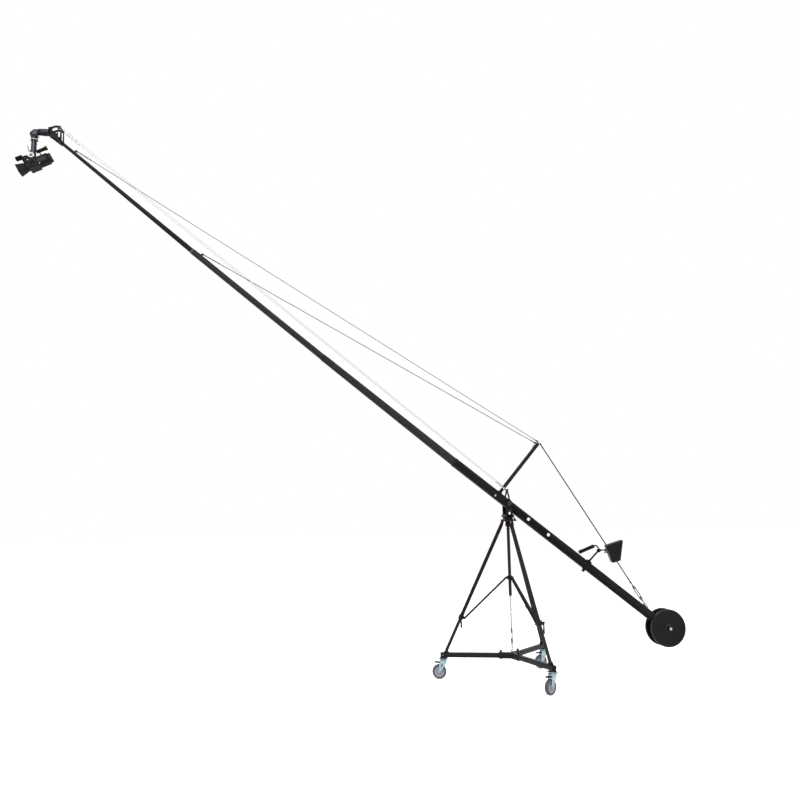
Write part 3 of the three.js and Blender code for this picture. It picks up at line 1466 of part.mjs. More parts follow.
function makeHead(bracket, rearFace) {
  const {
    barrelRise, barrelRadius, barrelNoseRadius, barrelEnd, elbowEnd, elbowLow, elbowHigh, elbowHalfWidth,
    panX, collarRadius, collarLow, spindleRadius, spindleLength, postRadius, postBottom,
    tiltX, tiltZ, gearRadius, shaftRadius, ringRadius, ringLength,
  } = head;
  const edge = camera.edge;
  const elbow = sidePlate(belt([
    [barrelEnd - edge, elbowHigh - edge, edge],
    [elbowEnd + edge + edge, elbowHigh - edge - edge, edge + edge],
    [elbowEnd + edge, elbowLow + edge, edge],
    [barrelEnd - edge, elbowLow + edge, edge],
  ]), -elbowHalfWidth, elbowHalfWidth);
  const armBody = cut(
    join(
      turned([
        [0, 0], [barrelRadius - edge / 2, 0], [barrelRadius, edge / 2],
        [barrelRadius, (rearFace - barrelEnd) / 2], [barrelNoseRadius, rearFace - barrelEnd + edge],
        [0, rearFace - barrelEnd + edge],
      ], [rearFace, 0, barrelRise], [barrelEnd, 0, barrelRise]),
      elbow,
      turned([
        [0, 0], [collarRadius - edge / 2, 0], [collarRadius, edge / 2],
        [collarRadius, elbowLow - collarLow + edge], [0, elbowLow - collarLow + edge],
      ], [panX, 0, collarLow], [panX, 0, elbowLow]),
    ),
    bored(spindleRadius, [panX, 0, collarLow - cutOverrun],
      [panX, 0, collarLow + spindleLength], roundSides),
  );
  add(bracket, 'head_arm', armBody, 'satinBlack');

  const postTop = collarLow - gap;
  const hubInside = cradle.inside + cradle.thickness + gap;
  const hubOutside = hubInside + ringLength;
  const gearEnd = cradle.inside - gap;
  const post = join(
    rod(postRadius, [panX, 0, postBottom], [panX, 0, postTop], roundSides),
    rod(spindleRadius, [panX, 0, postTop - edge], [panX, 0, postTop + spindleLength - gap], roundSides),
    rod(gearRadius, [tiltX, -gearEnd, tiltZ], [tiltX, gearEnd, tiltZ], roundSides),
    rod(shaftRadius, [tiltX, -hubOutside, tiltZ], [tiltX, hubOutside, tiltZ], roundSides),
    ...[-1, 1].map((end) => rod(ringRadius, [tiltX, end * hubInside, tiltZ],
      [tiltX, end * hubOutside, tiltZ], roundSides)),
  );
  add(bracket, 'head_post', post, 'satinBlack');
  makeCamera(subGroup(bracket, [tiltX, 0, tiltZ], [0, -camera.pitchAngle, 0]));
}

function makeCamera(group) {
  const cradleOutside = cradle.inside + cradle.thickness;
  const { lobeRadius, footRadius } = cradle;
  const footZ = footRadius - cradle.depth - cradle.thickness;
  const cheek = belt([
    [0, 0, lobeRadius],
    [cradle.front + footRadius, footZ, footRadius],
    [cradle.rear - footRadius, footZ, footRadius],
  ]);
  const cradleBody = cut(
    join(
      pairOfPlates(cheek, cradle.inside, cradle.thickness),
      block([cradle.front, -cradleOutside, -cradle.depth - cradle.thickness],
        [cradle.rear, cradleOutside, -cradle.depth]),
    ),
    bored(head.shaftRadius, [0, -cradleOutside - cutOverrun, 0],
      [0, cradleOutside + cutOverrun, 0], roundSides),
  );
  add(group, 'camera_cradle', cradleBody, 'satinBlack');

  const {
    axisDrop, halfWidth, halfHeight, rear, bodyFront, edge, lensRadius, lensFront, hoodFront,
    hoodHalfWidth, hoodHalfHeight, hoodWall, hoodRearShare, handleRear, handleFront, handleWidth,
    handleRise, handleThickness, micRadius, micRear, batteryDepth, batteryHalfWidth,
  } = camera;
  const middle = -axisDrop;
  const [low, high] = [gap - cradle.depth, middle + halfHeight];
  const bodyShape = belt([
    [halfWidth - edge, low + edge, edge], [halfWidth - edge, high - edge, edge],
    [edge - halfWidth, high - edge, edge], [edge - halfWidth, low + edge, edge],
  ]);
  const handleHalf = handleWidth / 2;
  const handleMiddle = -handleHalf - edge;
  const handleHigh = middle + halfHeight + handleRise;
  const post = belt([
    [bodyFront + edge + edge, high - edge, edge],
    [bodyFront - edge, handleHigh - handleThickness, edge],
    [bodyFront - edge - edge - edge, handleHigh - handleThickness, edge],
    [bodyFront + edge, high - edge - edge, edge],
  ]);
  const handlePlate = belt([
    [handleRear, handleHigh - handleThickness - edge, edge],
    [handleFront + edge, handleHigh, edge],
    [handleFront + edge, handleHigh - handleThickness, edge],
  ]);
  const micZ = handleHigh - micRadius / 2;
  const cameraBody = join(
    crossPlate(bodyShape, bodyFront, rear),
    rod(lensRadius, [bodyFront + gap, 0, middle], [lensFront, 0, middle], roundSides),
    block([rear - gap, -batteryHalfWidth, low + edge], [rear + batteryDepth, batteryHalfWidth, high - edge]),
    sidePlate(post, handleMiddle - handleHalf, handleMiddle + handleHalf),
    sidePlate(handlePlate, handleMiddle - handleHalf, handleMiddle + handleHalf),
    rod(micRadius, [micRear, handleMiddle, micZ], [handleFront, handleMiddle, micZ], roundSides),
  );
  const { bracketX, bracketY, bracketRadius, pinRadius, side, rise } = finder;
  const bracket = rod(bracketRadius, [bracketX, bracketY, high - edge],
    [bracketX, bracketY, rise + bracketRadius]);
  const bracketPin = rod(pinRadius, [bracketX, bracketY, rise],
    [bracketX, side - finder.radius - pinRadius, rise]);
  add(group, 'camera_body', join(cameraBody, bracket, bracketPin), 'blackPlastic');

  const hoodRear = lensFront - gap;
  const hoodShell = (inset, from, to) => {
    const points = [];
    for (const [x, share] of [[from, hoodRearShare], [to, 1]]) {
      const [y, z] = [hoodHalfWidth * share - inset, hoodHalfHeight * share - inset];
      points.push([x, -y, middle - z], [x, y, middle - z], [x, y, middle + z], [x, -y, middle + z]);
    }
    return prism(points);
  };
  const hood = cut(
    hoodShell(0, hoodRear, hoodFront),
    hoodShell(hoodWall, hoodRear - hoodWall, hoodFront - gap),
    rod(lensRadius - hoodWall - hoodWall, [hoodRear + cutOverrun, 0, middle],
      [hoodRear - hoodWall - cutOverrun, 0, middle], roundSides),
  );
  add(group, 'lens_hood', hood, 'blackPlastic');

  const { radius, front, rear: finderRear, cupRadius, cupLength } = finder;
  const finderBody = cut(
    turned([
      [0, 0], [radius - edge / 2, 0], [radius, edge / 2], [radius, finderRear - front - cupLength],
      [cupRadius, finderRear - front], [0, finderRear - front],
    ], [front, side, rise], [finderRear, side, rise]),
    bored(pinRadius, [bracketX, side - radius - cutOverrun, rise],
      [bracketX, side + radius + cutOverrun, rise]),
  );
  add(group, 'viewfinder', finderBody, 'blackPlastic');
}

// A six-faced body between two rectangles, each given by its four corners
function prism(points) {
  const faces = [[0, 1, 2], [0, 2, 3], [4, 6, 5], [4, 7, 6]];
  for (let i = 0; i < 4; i += 1) {
    const next = (i + 1) % 4;
    faces.push([i, i + 4, next + 4], [i, next + 4, next]);
  }
  return geometryOf(points.flat(), faces.flat());
}

makeCrown();
makeColumn();
makeBraceCollar();
makeChain();
makeHub();
for (let number = 1; number <= legCount; number += 1) {
  const radial = subGroup(crane, [0, 0, 0], [0, 0, footAngles[number - 1]]);
  const line = subGroup(radial, [tripod.pivotRadius, 0, tripod.pivotHeight], [0, -legAngle, 0]);
  makeUpperLeg(line, number);
  makeLowerLeg(line, number);
  makeClampLever(line, number);
  makeBrace(radial, number);
  makeSpreaderBar(radial, number);
  makeCaster(radial, number);
}
makePanBase();
makeYoke();
makeRearSection();
makeFrontSections();
makeMast();
makeStays();
makeWeights();
makeControls();
makeMonitor();
makeLevellingCables();
makeTip();

export default crane;
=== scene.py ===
import math

import bmesh
import bpy
from mathutils import Matrix, Vector


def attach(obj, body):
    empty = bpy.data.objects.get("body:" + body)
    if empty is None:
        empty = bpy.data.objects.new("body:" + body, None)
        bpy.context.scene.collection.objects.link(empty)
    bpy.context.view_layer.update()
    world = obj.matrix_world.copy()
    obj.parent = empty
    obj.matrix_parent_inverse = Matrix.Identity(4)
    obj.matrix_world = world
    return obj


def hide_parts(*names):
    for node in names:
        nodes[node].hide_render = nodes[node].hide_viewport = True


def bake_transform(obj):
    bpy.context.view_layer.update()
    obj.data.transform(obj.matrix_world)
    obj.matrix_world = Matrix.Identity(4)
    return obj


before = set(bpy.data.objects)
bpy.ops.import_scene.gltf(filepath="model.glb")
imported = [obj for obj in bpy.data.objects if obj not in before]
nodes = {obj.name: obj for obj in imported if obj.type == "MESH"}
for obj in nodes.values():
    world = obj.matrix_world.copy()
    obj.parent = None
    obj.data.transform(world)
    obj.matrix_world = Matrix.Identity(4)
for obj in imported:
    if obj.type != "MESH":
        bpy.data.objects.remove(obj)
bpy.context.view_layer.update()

# sizes that several pieces share, in millimetres and degrees
layout = {
    "pivotHeight": 1530, "armAngle": 37.95, "camber": 0.568, "rearReach": 620, "sectionLength": 1520,
    "footAngles": (164.6, 284.6, 44.6), "trailAngles": (168, 215, 197), "footRadius": 610,
    "legPivotX": 60, "legPivotZ": 1340, "legRun": 523.4, "footDrop": 1102, "barHeight": 205,
    "linkRise": 125, "mastFoot": (-115, 0, 39), "mastLean": 2.4, "controlBolt": (938, 0, 186),
    "monitorBolt": (20, -96, 0), "monitorTurn": -17, "monitorTilt": -18,
    "tiltAxis": (-226, 0, -162), "cameraTilt": -28.4,
}
fullTurn = 2 * math.pi
octagonCorner = 1 / math.cos(math.pi / 8)  # corner radius over half the width across the flats


def place(x=0, y=0, z=0):
    return Matrix.Translation((x, y, z))


def turn(degrees, axis):
    return Matrix.Rotation(math.radians(degrees), 4, axis)


def alongWire(point, direction):
    # a frame whose x axis runs along a wire that lies in the arm's plane
    d = direction.normalized()
    return place(*point) @ Matrix(((d.x, 0, -d.z, 0), (0, 1, 0, 0), (d.z, 0, d.x, 0), (0, 0, 0, 1)))


def aheadOfPivot(distance, rise=0.0):
    # a point by the cambered middle line of the arm, in the arm's frame
    x, z, camber, length = 0.0, 0.0, 0.0, layout["rearReach"]
    while distance > length:
        x -= length * math.cos(math.radians(camber))
        z += length * math.sin(math.radians(camber))
        camber += layout["camber"]
        distance -= length
        length = layout["sectionLength"]
    c, s = math.cos(math.radians(camber)), math.sin(math.radians(camber))
    return Vector((x - distance * c + rise * s, 0, z + distance * s + rise * c))


legAngle = math.degrees(math.atan2(layout["legRun"], layout["footDrop"]))
radialFrames = [turn(angle, 'Z') for angle in layout["footAngles"]]
legFrames = [radial @ place(layout["legPivotX"], 0, layout["legPivotZ"]) @ turn(-legAngle, 'Y')
             for radial in radialFrames]
casterFrames = [turn(foot, 'Z') @ place(layout["footRadius"]) @ turn(trail - foot, 'Z')
                for foot, trail in zip(layout["footAngles"], layout["trailAngles"])]
yokeFrame = place(0, 0, layout["pivotHeight"])
armFrame = yokeFrame @ turn(layout["armAngle"], 'Y')
mastFrame = armFrame @ place(*layout["mastFoot"]) @ turn(layout["mastLean"], 'Y')
tipFrame = place(*(armFrame @ aheadOfPivot(layout["rearReach"] + 3 * layout["sectionLength"])))
cameraFrame = tipFrame @ place(*layout["tiltAxis"]) @ turn(layout["cameraTilt"], 'Y')
levelFrame = place(*(armFrame @ Vector(layout["controlBolt"])))
monitorFrame = (levelFrame @ place(*layout["monitorBolt"]) @ turn(layout["monitorTurn"], 'Z')
                @ turn(layout["monitorTilt"], 'Y'))


def downLeg(along, across=0.0):
    # x and z in a radial frame of a point on a leg
    c, s = math.cos(math.radians(legAngle)), math.sin(math.radians(legAngle))
    return layout["legPivotX"] + along * s + across * c, layout["legPivotZ"] - along * c + across * s


# mesh tools: every length is in millimetres in the piece's own frame
def ringRound(point, side, up, radius, sides):
    return [point + radius * (math.cos(fullTurn * k / sides) * side + math.sin(fullTurn * k / sides) * up)
            for k in range(sides)]


def addLoops(bm, loops, closed=False):
    rows = [[bm.verts.new(point) for point in loop] for loop in loops]
    sides = len(rows[0])
    for low, high in list(zip(rows, rows[1:])) + ([(rows[-1], rows[0])] if closed else []):
        for i in range(sides):
            j = (i + 1) % sides
            bm.faces.new((low[i], low[j], high[j], high[i]))
    if not closed:
        bm.faces.new(rows[0][::-1])
        bm.faces.new(rows[-1])


def addTurned(bm, profile, start, end, sides=32, closed=False):
    # rows of radius and distance, turned round the line from start to end
    start = Vector(start)
    axis = (Vector(end) - start).normalized()
    side = (Vector((0, 1, 0)) - axis * axis.y).normalized() if abs(axis.y) < 0.9 else Vector((1, 0, 0))
    addLoops(bm, [ringRound(start + axis * distance, side, axis.cross(side), max(radius, 0.05), sides)
                  for radius, distance in profile], closed)


def addRing(bm, profile, start, end, sides=32):
    addTurned(bm, profile, start, end, sides, closed=True)


def addRod(bm, start, end, radius, sides=24):
    addTurned(bm, [(radius, 0), (radius, (Vector(end) - Vector(start)).length)], start, end, sides)


def addSoftRod(bm, start, end, radius, edge=1.0, sides=24):
    # a rod with rounded rims
    length = (Vector(end) - Vector(start)).length
    addTurned(bm, [(radius - edge, 0), (radius - edge * 0.3, edge * 0.3), (radius, edge),
                   (radius, length - edge), (radius - edge * 0.3, length - edge * 0.3),
                   (radius - edge, length)],
              start, end, sides)


def addHex(bm, start, end, radius):
    addSoftRod(bm, start, end, radius, edge=min(1.0, radius * 0.12), sides=6)


def mirrored(add, bm, places, inside, outside, *sizes):
    # the same rod or bolt head on the near and the far side, at each place (x, z)
    for x, z in places:
        for side in (-1, 1):
            add(bm, (x, side * inside, z), (x, side * outside, z), *sizes)


def addBox(bm, low, high):
    made = bmesh.ops.create_cube(bm, size=1.0)
    bmesh.ops.scale(bm, vec=Vector(high) - Vector(low), verts=made["verts"])
    bmesh.ops.transform(bm, matrix=place(*((Vector(low) + Vector(high)) / 2)), verts=made["verts"])


def addSweep(bm, points, radius, sides=12):
    # a round bar along points; the radius is one number, or one for each point
    radii = radius if isinstance(radius, list) else [radius] * len(points)
    points = [Vector(p) for p in points]
    loops, side = [], None
    for i, point in enumerate(points):
        ahead = (points[min(i + 1, len(points) - 1)] - points[max(i - 1, 0)]).normalized()
        side = (ahead.orthogonal() if side is None else side - ahead * side.dot(ahead)).normalized()
        loops.append(ringRound(point, side, ahead.cross(side), radii[i], sides))
    addLoops(bm, loops)


def smoothPath(points, steps=8):
    points = [Vector(p) for p in points]
    ends = [2 * points[0] - points[1]] + points + [2 * points[-1] - points[-2]]
    path = []
    for a, b, c, d in zip(ends, ends[1:], ends[2:], ends[3:]):
        for k in range(steps):
            t = k / steps
            path.append(0.5 * (2 * b + (c - a) * t + (2 * a - 5 * b + 4 * c - d) * t ** 2
                               + (3 * b - a - 3 * c + d) * t ** 3))
    return path + [points[-1]]


def belt(lobes, step=12):
    # the outline of a strap round circles (x, y, radius), anticlockwise
    sides = []
    for i, (x, y, radius) in enumerate(lobes):
        nx, ny, nr = lobes[(i + 1) % len(lobes)]
        sides.append(math.atan2(ny - y, nx - x) - math.acos((radius - nr) / math.hypot(nx - x, ny - y)))
    points = []
    for i, (x, y, radius) in enumerate(lobes):
        sweep = (sides[i] - sides[i - 1]) % fullTurn
        count = max(1, round(math.degrees(sweep) / step))
        points += [(x + radius * math.cos(sides[i - 1] + sweep * k / count),
                    y + radius * math.sin(sides[i - 1] + sweep * k / count)) for k in range(count + 1)]
    return points


def boxBelt(x, y, radius, middle=0):
    # a rectangle with round corners whose centres are x and y from its middle
    return belt([(middle + x, -y, radius), (middle + x, y, radius), (middle - x, y, radius),
                 (middle - x, -y, radius)])


def circle(x, y, radius, count=24):
    return [(x + radius * math.cos(fullTurn * i / count), y + radius * math.sin(fullTurn * i / count))
            for i in range(count)]


plateTurns = {
    "y": Matrix(((1, 0, 0, 0), (0, 0, 1, 0), (0, 1, 0, 0), (0, 0, 0, 1))),
    "x": Matrix(((0, 0, 1, 0), (1, 0, 0, 0), (0, 1, 0, 0), (0, 0, 0, 1))),
    "z": Matrix(),
}


def addPlate(bm, outlines, low, high, along="y", edge=0.6, matrix=Matrix()):
    # a plate with holes: outlines are lists of points, the first is the outside
    curve = bpy.data.curves.new("plate", 'CURVE')
    curve.dimensions = '2D'
    curve.fill_mode = 'BOTH'
    edge = min(edge, (high - low) / 2.5)
    curve.extrude = (high - low) / 2 - edge
    curve.bevel_depth = edge
    curve.bevel_resolution = 1
    curve.offset = -edge
    for outline in outlines:
        spline = curve.splines.new('POLY')
        spline.points.add(len(outline) - 1)
        for point, (x, y) in zip(spline.points, outline):
            point.co = (x, y, 0, 1)
        spline.use_cyclic_u = True
    holder = bpy.data.objects.new("plate", curve)
    flat = bpy.data.meshes.new_from_object(holder)
    flat.transform(matrix @ plateTurns[along] @ place(0, 0, (low + high) / 2))
    bm.from_mesh(flat)
    bpy.data.objects.remove(holder)
    bpy.data.curves.remove(curve)
    bpy.data.meshes.remove(flat)


def bothSides(bm, outlines, inside, outside, edge=0.6, matrix=Matrix()):
    # a pair of cheeks
    for low, high in ((inside, outside), (-outside, -inside)):
        addPlate(bm, outlines, low, high, edge=edge, matrix=matrix)


def addMesh(bm, other, matrix):
    bmesh.ops.transform(other, matrix=matrix, verts=other.verts)
    loose = bpy.data.meshes.new("loose")
    other.to_mesh(loose)
    other.free()
    bm.from_mesh(loose)
    bpy.data.meshes.remove(loose)


def addPin(bm, x, z, half, radius, head):
    # a bolt across a joint, with a head and a washer at each end
    addRod(bm, (x, -half, z), (x, half, z), radius)
    for side in (-1, 1):
        addHex(bm, (x, side * (half - 5), z), (x, side * half, z), head)
        addSoftRod(bm, (x, side * (half - 6.2), z), (x, side * (half - 4.8), z), head + 1.4, 0.4)


def piece(bm, name, body, finish, matrix=Matrix(), node=None, bevel=0.0, sharp=32):
    # welds the mesh, puts it into the shared frame in metres and hangs it on its body
    bmesh.ops.remove_doubles(bm, verts=bm.verts, dist=0.001)
    bmesh.ops.recalc_face_normals(bm, faces=bm.faces)
    bmesh.ops.transform(bm, matrix=Matrix.Scale(0.001, 4) @ matrix, verts=bm.verts)
    mesh = bpy.data.meshes.new(name)
    bm.to_mesh(mesh)
    bm.free()
    mesh.shade_smooth()
    mesh.set_sharp_from_angle(angle=math.radians(sharp))
    mesh.materials.append(finishes[finish])
    made = bpy.data.objects.new(name, mesh)
    bpy.context.scene.collection.objects.link(made)
    if bevel:
        edges = made.modifiers.new("edges", 'BEVEL')
        edges.width = bevel * 0.001
        edges.segments = 2
        edges.limit_method = 'ANGLE'
        edges.angle_limit = math.radians(35)
        edges.harden_normals = True
    if body:
        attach(made, body)
    if node:
        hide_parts(node)
    return made


# finishes: three effects as node groups, and a material for each finish
def newGroup(name, inputs):
    # a group with its own noise coordinates; every group gives a colour, a roughness and a height
    tree = bpy.data.node_groups.new(name, 'ShaderNodeTree')
    for label, value in inputs.items():
        kind = 'NodeSocketFloat'
        if isinstance(value, tuple):
            kind = 'NodeSocketColor' if len(value) == 4 else 'NodeSocketVector'
        tree.interface.new_socket(label, in_out='INPUT', socket_type=kind).default_value = value
    for label, kind in (("Colour", 'NodeSocketColor'), ("Roughness", 'NodeSocketFloat'),
                        ("Height", 'NodeSocketFloat')):
        tree.interface.new_socket(label, in_out='OUTPUT', socket_type=kind)
    given = tree.nodes.new('NodeGroupInput').outputs
    return tree, given, tree.nodes.new('ShaderNodeTexCoord').outputs['Object']


def closeGroup(tree, colour, roughness, height):
    outside = tree.nodes.new('NodeGroupOutput')
    for label, value in (("Colour", colour), ("Roughness", roughness), ("Height", height)):
        tree.links.new(value, outside.inputs[label])
    return tree


def noiseNode(tree, vector, scale, detail, rough=0.5):
    node = tree.nodes.new('ShaderNodeTexNoise')
    node.inputs['Detail'].default_value = detail
    node.inputs['Roughness'].default_value = rough
    tree.links.new(vector, node.inputs['Vector'])
    if isinstance(scale, (int, float)):
        node.inputs['Scale'].default_value = scale
    else:
        tree.links.new(scale, node.inputs['Scale'])
    return node.outputs[0]


def mathNode(tree, operation, *values):
    node = tree.nodes.new('ShaderNodeMath')
    node.operation = operation
    for i, value in enumerate(values):
        if isinstance(value, (int, float)):
            node.inputs[i].default_value = value
        else:
            tree.links.new(value, node.inputs[i])
    return node.outputs[0]


def varied(tree, noise, depth, base):
    # the base value, up and down by half the depth as the noise varies
    return mathNode(tree, 'MULTIPLY_ADD', mathNode(tree, 'SUBTRACT', noise, 0.5), depth, base)


def vectorNode(tree, operation, first, second, socket):
    node = tree.nodes.new('ShaderNodeVectorMath')
    node.operation = operation
    tree.links.new(first, node.inputs[0])
    tree.links.new(second, node.inputs[socket])
    return node.outputs[0]


def mixColours(tree, mask, first, second):
    # the mask is held between 0 and 1
    clamp = tree.nodes.new('ShaderNodeClamp')
    node = tree.nodes.new('ShaderNodeMix')
    node.data_type = 'RGBA'
    for value, socket in ((mask, clamp.inputs[0]), (clamp.outputs[0], node.inputs[0]),
                          (first, node.inputs[6]), (second, node.inputs[7])):
        tree.links.new(value, socket)
    return node.outputs[2]


def makeWearAndSheenGroup():
    # handling marks with painted highlights: paint rubs through on sharp edges, and the lighter bare colour
    # there also paints a highlight along every edge; the roughness varies over the surface
    tree, given, coordinates = newGroup("edgeWearSheenAndMottle", {
        "Paint": (0.02, 0.02, 0.02, 1), "BareAndSheen": (0.3, 0.3, 0.3, 1), "WearAndSheen": 0.3, "Mottle": 0.3, "Gloss": 0.4,
        "Scale": 60.0})
    fine = noiseNode(tree, coordinates, mathNode(tree, 'MULTIPLY', given['Scale'], 1.0), 6, 0.65)
    broad = noiseNode(tree, coordinates, mathNode(tree, 'MULTIPLY', given['Scale'], 0.08), 3)
    pointed = tree.nodes.new('ShaderNodeNewGeometry').outputs['Pointiness']
    # convex edges take the bare colour: partly worn paint, partly a painted highlight along the edges
    edge = mathNode(tree, 'MULTIPLY', mathNode(tree, 'SUBTRACT', pointed, 0.52), 9.0)
    speckled = mathNode(tree, 'MULTIPLY', edge, mathNode(tree, 'MULTIPLY', fine, 1.8))
    toned = vectorNode(tree, 'SCALE', given['Paint'], varied(tree, broad, given['Mottle'], 1.0), 'Scale')
    wornAndSheen = mixColours(tree, mathNode(tree, 'MULTIPLY', speckled, given['WearAndSheen']), toned, given['BareAndSheen'])
    return closeGroup(tree, wornAndSheen, varied(tree, fine, 0.22, given['Gloss']), fine)


def makeBrushGroup():
    # fine lines drawn along one direction, as on drawn tube and brushed metal
    tree, given, coordinates = newGroup("drawnLines", {
        "Tone": (0.5, 0.5, 0.5, 1), "Stretch": (4.0, 400.0, 400.0), "Depth": 0.2, "Gloss": 0.35})
    lines = noiseNode(tree, vectorNode(tree, 'MULTIPLY', coordinates, given['Stretch'], 1), 1.0, 3)
    toned = vectorNode(tree, 'SCALE', given['Tone'], varied(tree, lines, given['Depth'], 1.0), 'Scale')
    return closeGroup(tree, toned, varied(tree, lines, 0.25, given['Gloss']), lines)


def makeCellGroup():
    # small rounded cells, as in foam and textured plastic, with painted shade that darkens the hollows
    # between the cells
    tree, given, coordinates = newGroup("smallCells", {
        "Tone": (0.02, 0.02, 0.02, 1), "HollowShade": (0.005, 0.005, 0.005, 1), "Scale": 500.0, "Gloss": 0.7})
    cells = tree.nodes.new('ShaderNodeTexVoronoi')
    tree.links.new(coordinates, cells.inputs['Vector'])
    tree.links.new(given['Scale'], cells.inputs['Scale'])
    distance = cells.outputs['Distance']
    # the colour goes towards the shade colour where the height is lowest: painted shade in the hollows
    colour = mixColours(tree, mathNode(tree, 'MULTIPLY', distance, 1.4), given['Tone'], given['HollowShade'])
    broad = noiseNode(tree, coordinates, 12.0, 3)
    return closeGroup(tree, colour, varied(tree, broad, 0.2, given['Gloss']),
                      mathNode(tree, 'MULTIPLY', distance, -1.0))


def grey(value, tint=0.0):
    return (value, value * (1 + tint * 0.5), value * (1 + tint), 1)


# the values of the group's inputs, then strength of the relief, metallic, specular level, relief in mm
wearAndSheenFinishes = {
    "armBlack": ("anodisedArmTube", (grey(0.004, 0.1), grey(0.07), 0.4, 0.5, 0.4, 40), 0.06, 0, 0.06, 0.4),
    "legBlack": ("paintedLegTube", (grey(0.0045), grey(0.08), 0.5, 0.6, 0.36, 70), 0.08, 0, 0.08, 0.4),
    "fittingBlack": ("anodisedFitting", (grey(0.0045, 0.1), grey(0.08), 0.4, 0.5, 0.4, 90), 0.06, 0, 0.06,
                     0.4),
    "crownBlack": ("castCrown", ((0.01, 0.005, 0.005, 1), (0.08, 0.05, 0.05, 1), 0.5, 0.6, 0.4, 90),
                   0.15, 0, 0.08, 0.4),
    "headBlack": ("anodisedHeadTube", ((0.008, 0.007, 0.013, 1), grey(0.1), 0.5, 0.6, 0.24, 90),
                  0.04, 0, 0.16, 0.4),
    "headBlue": ("anodisedHeadPost", ((0.006, 0.01, 0.019, 1), grey(0.08), 0.1, 0.4, 0.22, 90),
                 0.02, 0, 0.3, 0.4),
    "weightBlack": ("paintedIron", (grey(0.004), (0.1, 0.095, 0.09, 1), 0.7, 0.8, 0.42, 120), 0.3, 0, 0.12,
                    0.5),
}
brushFinishes = {
    "steel": ("brightSteel", (grey(0.36, 0.03), (500, 60, 500), 0.3, 0.3), 0.05, 1, 0.5, 0.4),
    "greySteel": ("weatheredSteel", (grey(0.14, 0.03), (400, 90, 400), 0.5, 0.36), 0.08, 0.9, 0.5, 0.4),
    "darkSteel": ("blackenedSteel", (grey(0.03, 0.03), (400, 90, 400), 0.5, 0.34), 0.08, 0.7, 0.3, 0.4),
    "wire": ("strandedWire", (grey(0.27), (700, 700, 700), 0.5, 0.4), 0.2, 0.9, 0.5, 0.4),
    "darkWire": ("sleevedWire", (grey(0.02), (700, 700, 700), 0.5, 0.45), 0.2, 0.3, 0.2, 0.4),
    "blackWire": ("coveredWire", (grey(0.007), (700, 700, 700), 0.5, 0.5), 0.2, 0, 0.2, 0.4),
    "zinc": ("zincPlate", ((0.27, 0.37, 0.4, 1), (70, 70, 90), 1.4, 0.3), 0.06, 0.85, 0.5, 0.4),
}
cellFinishes = {
    "tread": ("greyTread", ((0.06, 0.068, 0.08, 1), (0.04, 0.047, 0.056, 1), 900, 0.6), 0.1, 0, 0.5, 0.4),
    "wheelCore": ("wheelCore", ((0.36, 0.36, 0.4, 1), (0.28, 0.28, 0.32, 1), 700, 0.45), 0.06, 0, 0.5, 0.4),
    "plastic": ("mouldedPlastic", (grey(0.007), grey(0.004), 1400, 0.5), 0.12, 0, 0.1, 0.2),
    "camera": ("cameraShell", ((0.0035, 0.0037, 0.0042, 1), (0.002, 0.0022, 0.0027, 1), 1600, 0.36),
               0.12, 0, 0.06, 0.2),
    "cameraGrey": ("cameraGreyPanel", ((0.007, 0.0073, 0.0085, 1), (0.005, 0.0053, 0.006, 1), 1600, 0.4),
                   0.08, 0, 0.12, 0.4),
    "paleGrey": ("paleGreyPlate", (grey(0.62, 0.02), grey(0.5, 0.02), 900, 0.38), 0.05, 0, 0.5, 0.4),
    "foam": ("gripFoam", (grey(0.008), grey(0.003), 620, 0.88), 0.6, 0, 0.15, 0.8),
    "rubber": ("softRubber", (grey(0.006), grey(0.004), 800, 0.7), 0.15, 0, 0.15, 0.4),
    "nylon": ("whiteNylon", (grey(0.82), grey(0.74), 500, 0.4), 0.04, 0, 0.5, 0.4),
    "redKnob": ("redBrownKnob", ((0.14, 0.035, 0.022, 1), (0.09, 0.02, 0.014, 1), 500, 0.4), 0.05, 0, 0.5,
                0.4),
    "lens": ("lensGlass", ((0.01, 0.012, 0.025, 1), (0.008, 0.01, 0.018, 1), 20, 0.16), 0, 0, 0.5, 0.4),
    "screen": ("screenGlass", ((0.008, 0.009, 0.011, 1), (0.006, 0.007, 0.008, 1), 20, 0.2), 0, 0, 0.4, 0.4),
}
lensCoat = {"Coat Weight": 0.5, "Coat Roughness": 0.03}


def makeFinish(group, label, values, strength, metallic, specular, relief):
    material = bpy.data.materials.new(label)
    material.use_nodes = True
    tree = material.node_tree
    shader = tree.nodes['Principled BSDF'].inputs
    effect = tree.nodes.new('ShaderNodeGroup')
    effect.node_tree = group
    for socket, value in zip(effect.inputs, values):
        socket.default_value = value
    bump = tree.nodes.new('ShaderNodeBump')
    bump.inputs['Strength'].default_value = strength
    bump.inputs['Distance'].default_value = relief * 0.001
    shader['Metallic'].default_value = metallic
    shader['Specular IOR Level'].default_value = specular
    tree.links.new(effect.outputs['Colour'], shader['Base Color'])
    tree.links.new(effect.outputs['Roughness'], shader['Roughness'])
    tree.links.new(effect.outputs['Height'], bump.inputs['Height'])
    tree.links.new(bump.outputs[0], shader['Normal'])
    material.diffuse_color = values[0]
    return material


finishes = {}
for group, rows in ((makeWearAndSheenGroup(), wearAndSheenFinishes), (makeBrushGroup(), brushFinishes),
                    (makeCellGroup(), cellFinishes)):
    for name, row in rows.items():
        finishes[name] = makeFinish(group, *row)
for label, value in lensCoat.items():
    finishes["lens"].node_tree.nodes['Principled BSDF'].inputs[label].default_value = value
for name in ("arm_rear", "arm_front_3", "arm_front_2", "arm_front_1"):
    nodes[name].material_slots[0].material = finishes["armBlack"]
print("finishes made:", len(finishes))


# tripod
crownSizes = {"radius": 64, "top": 1393, "plate": 20, "hub": 24, "low": 1327, "crest": 50,
              "earIn": 10.3, "earOut": 17.3, "earRadius": 15, "bolt": 5, "boltHead": 7.5}


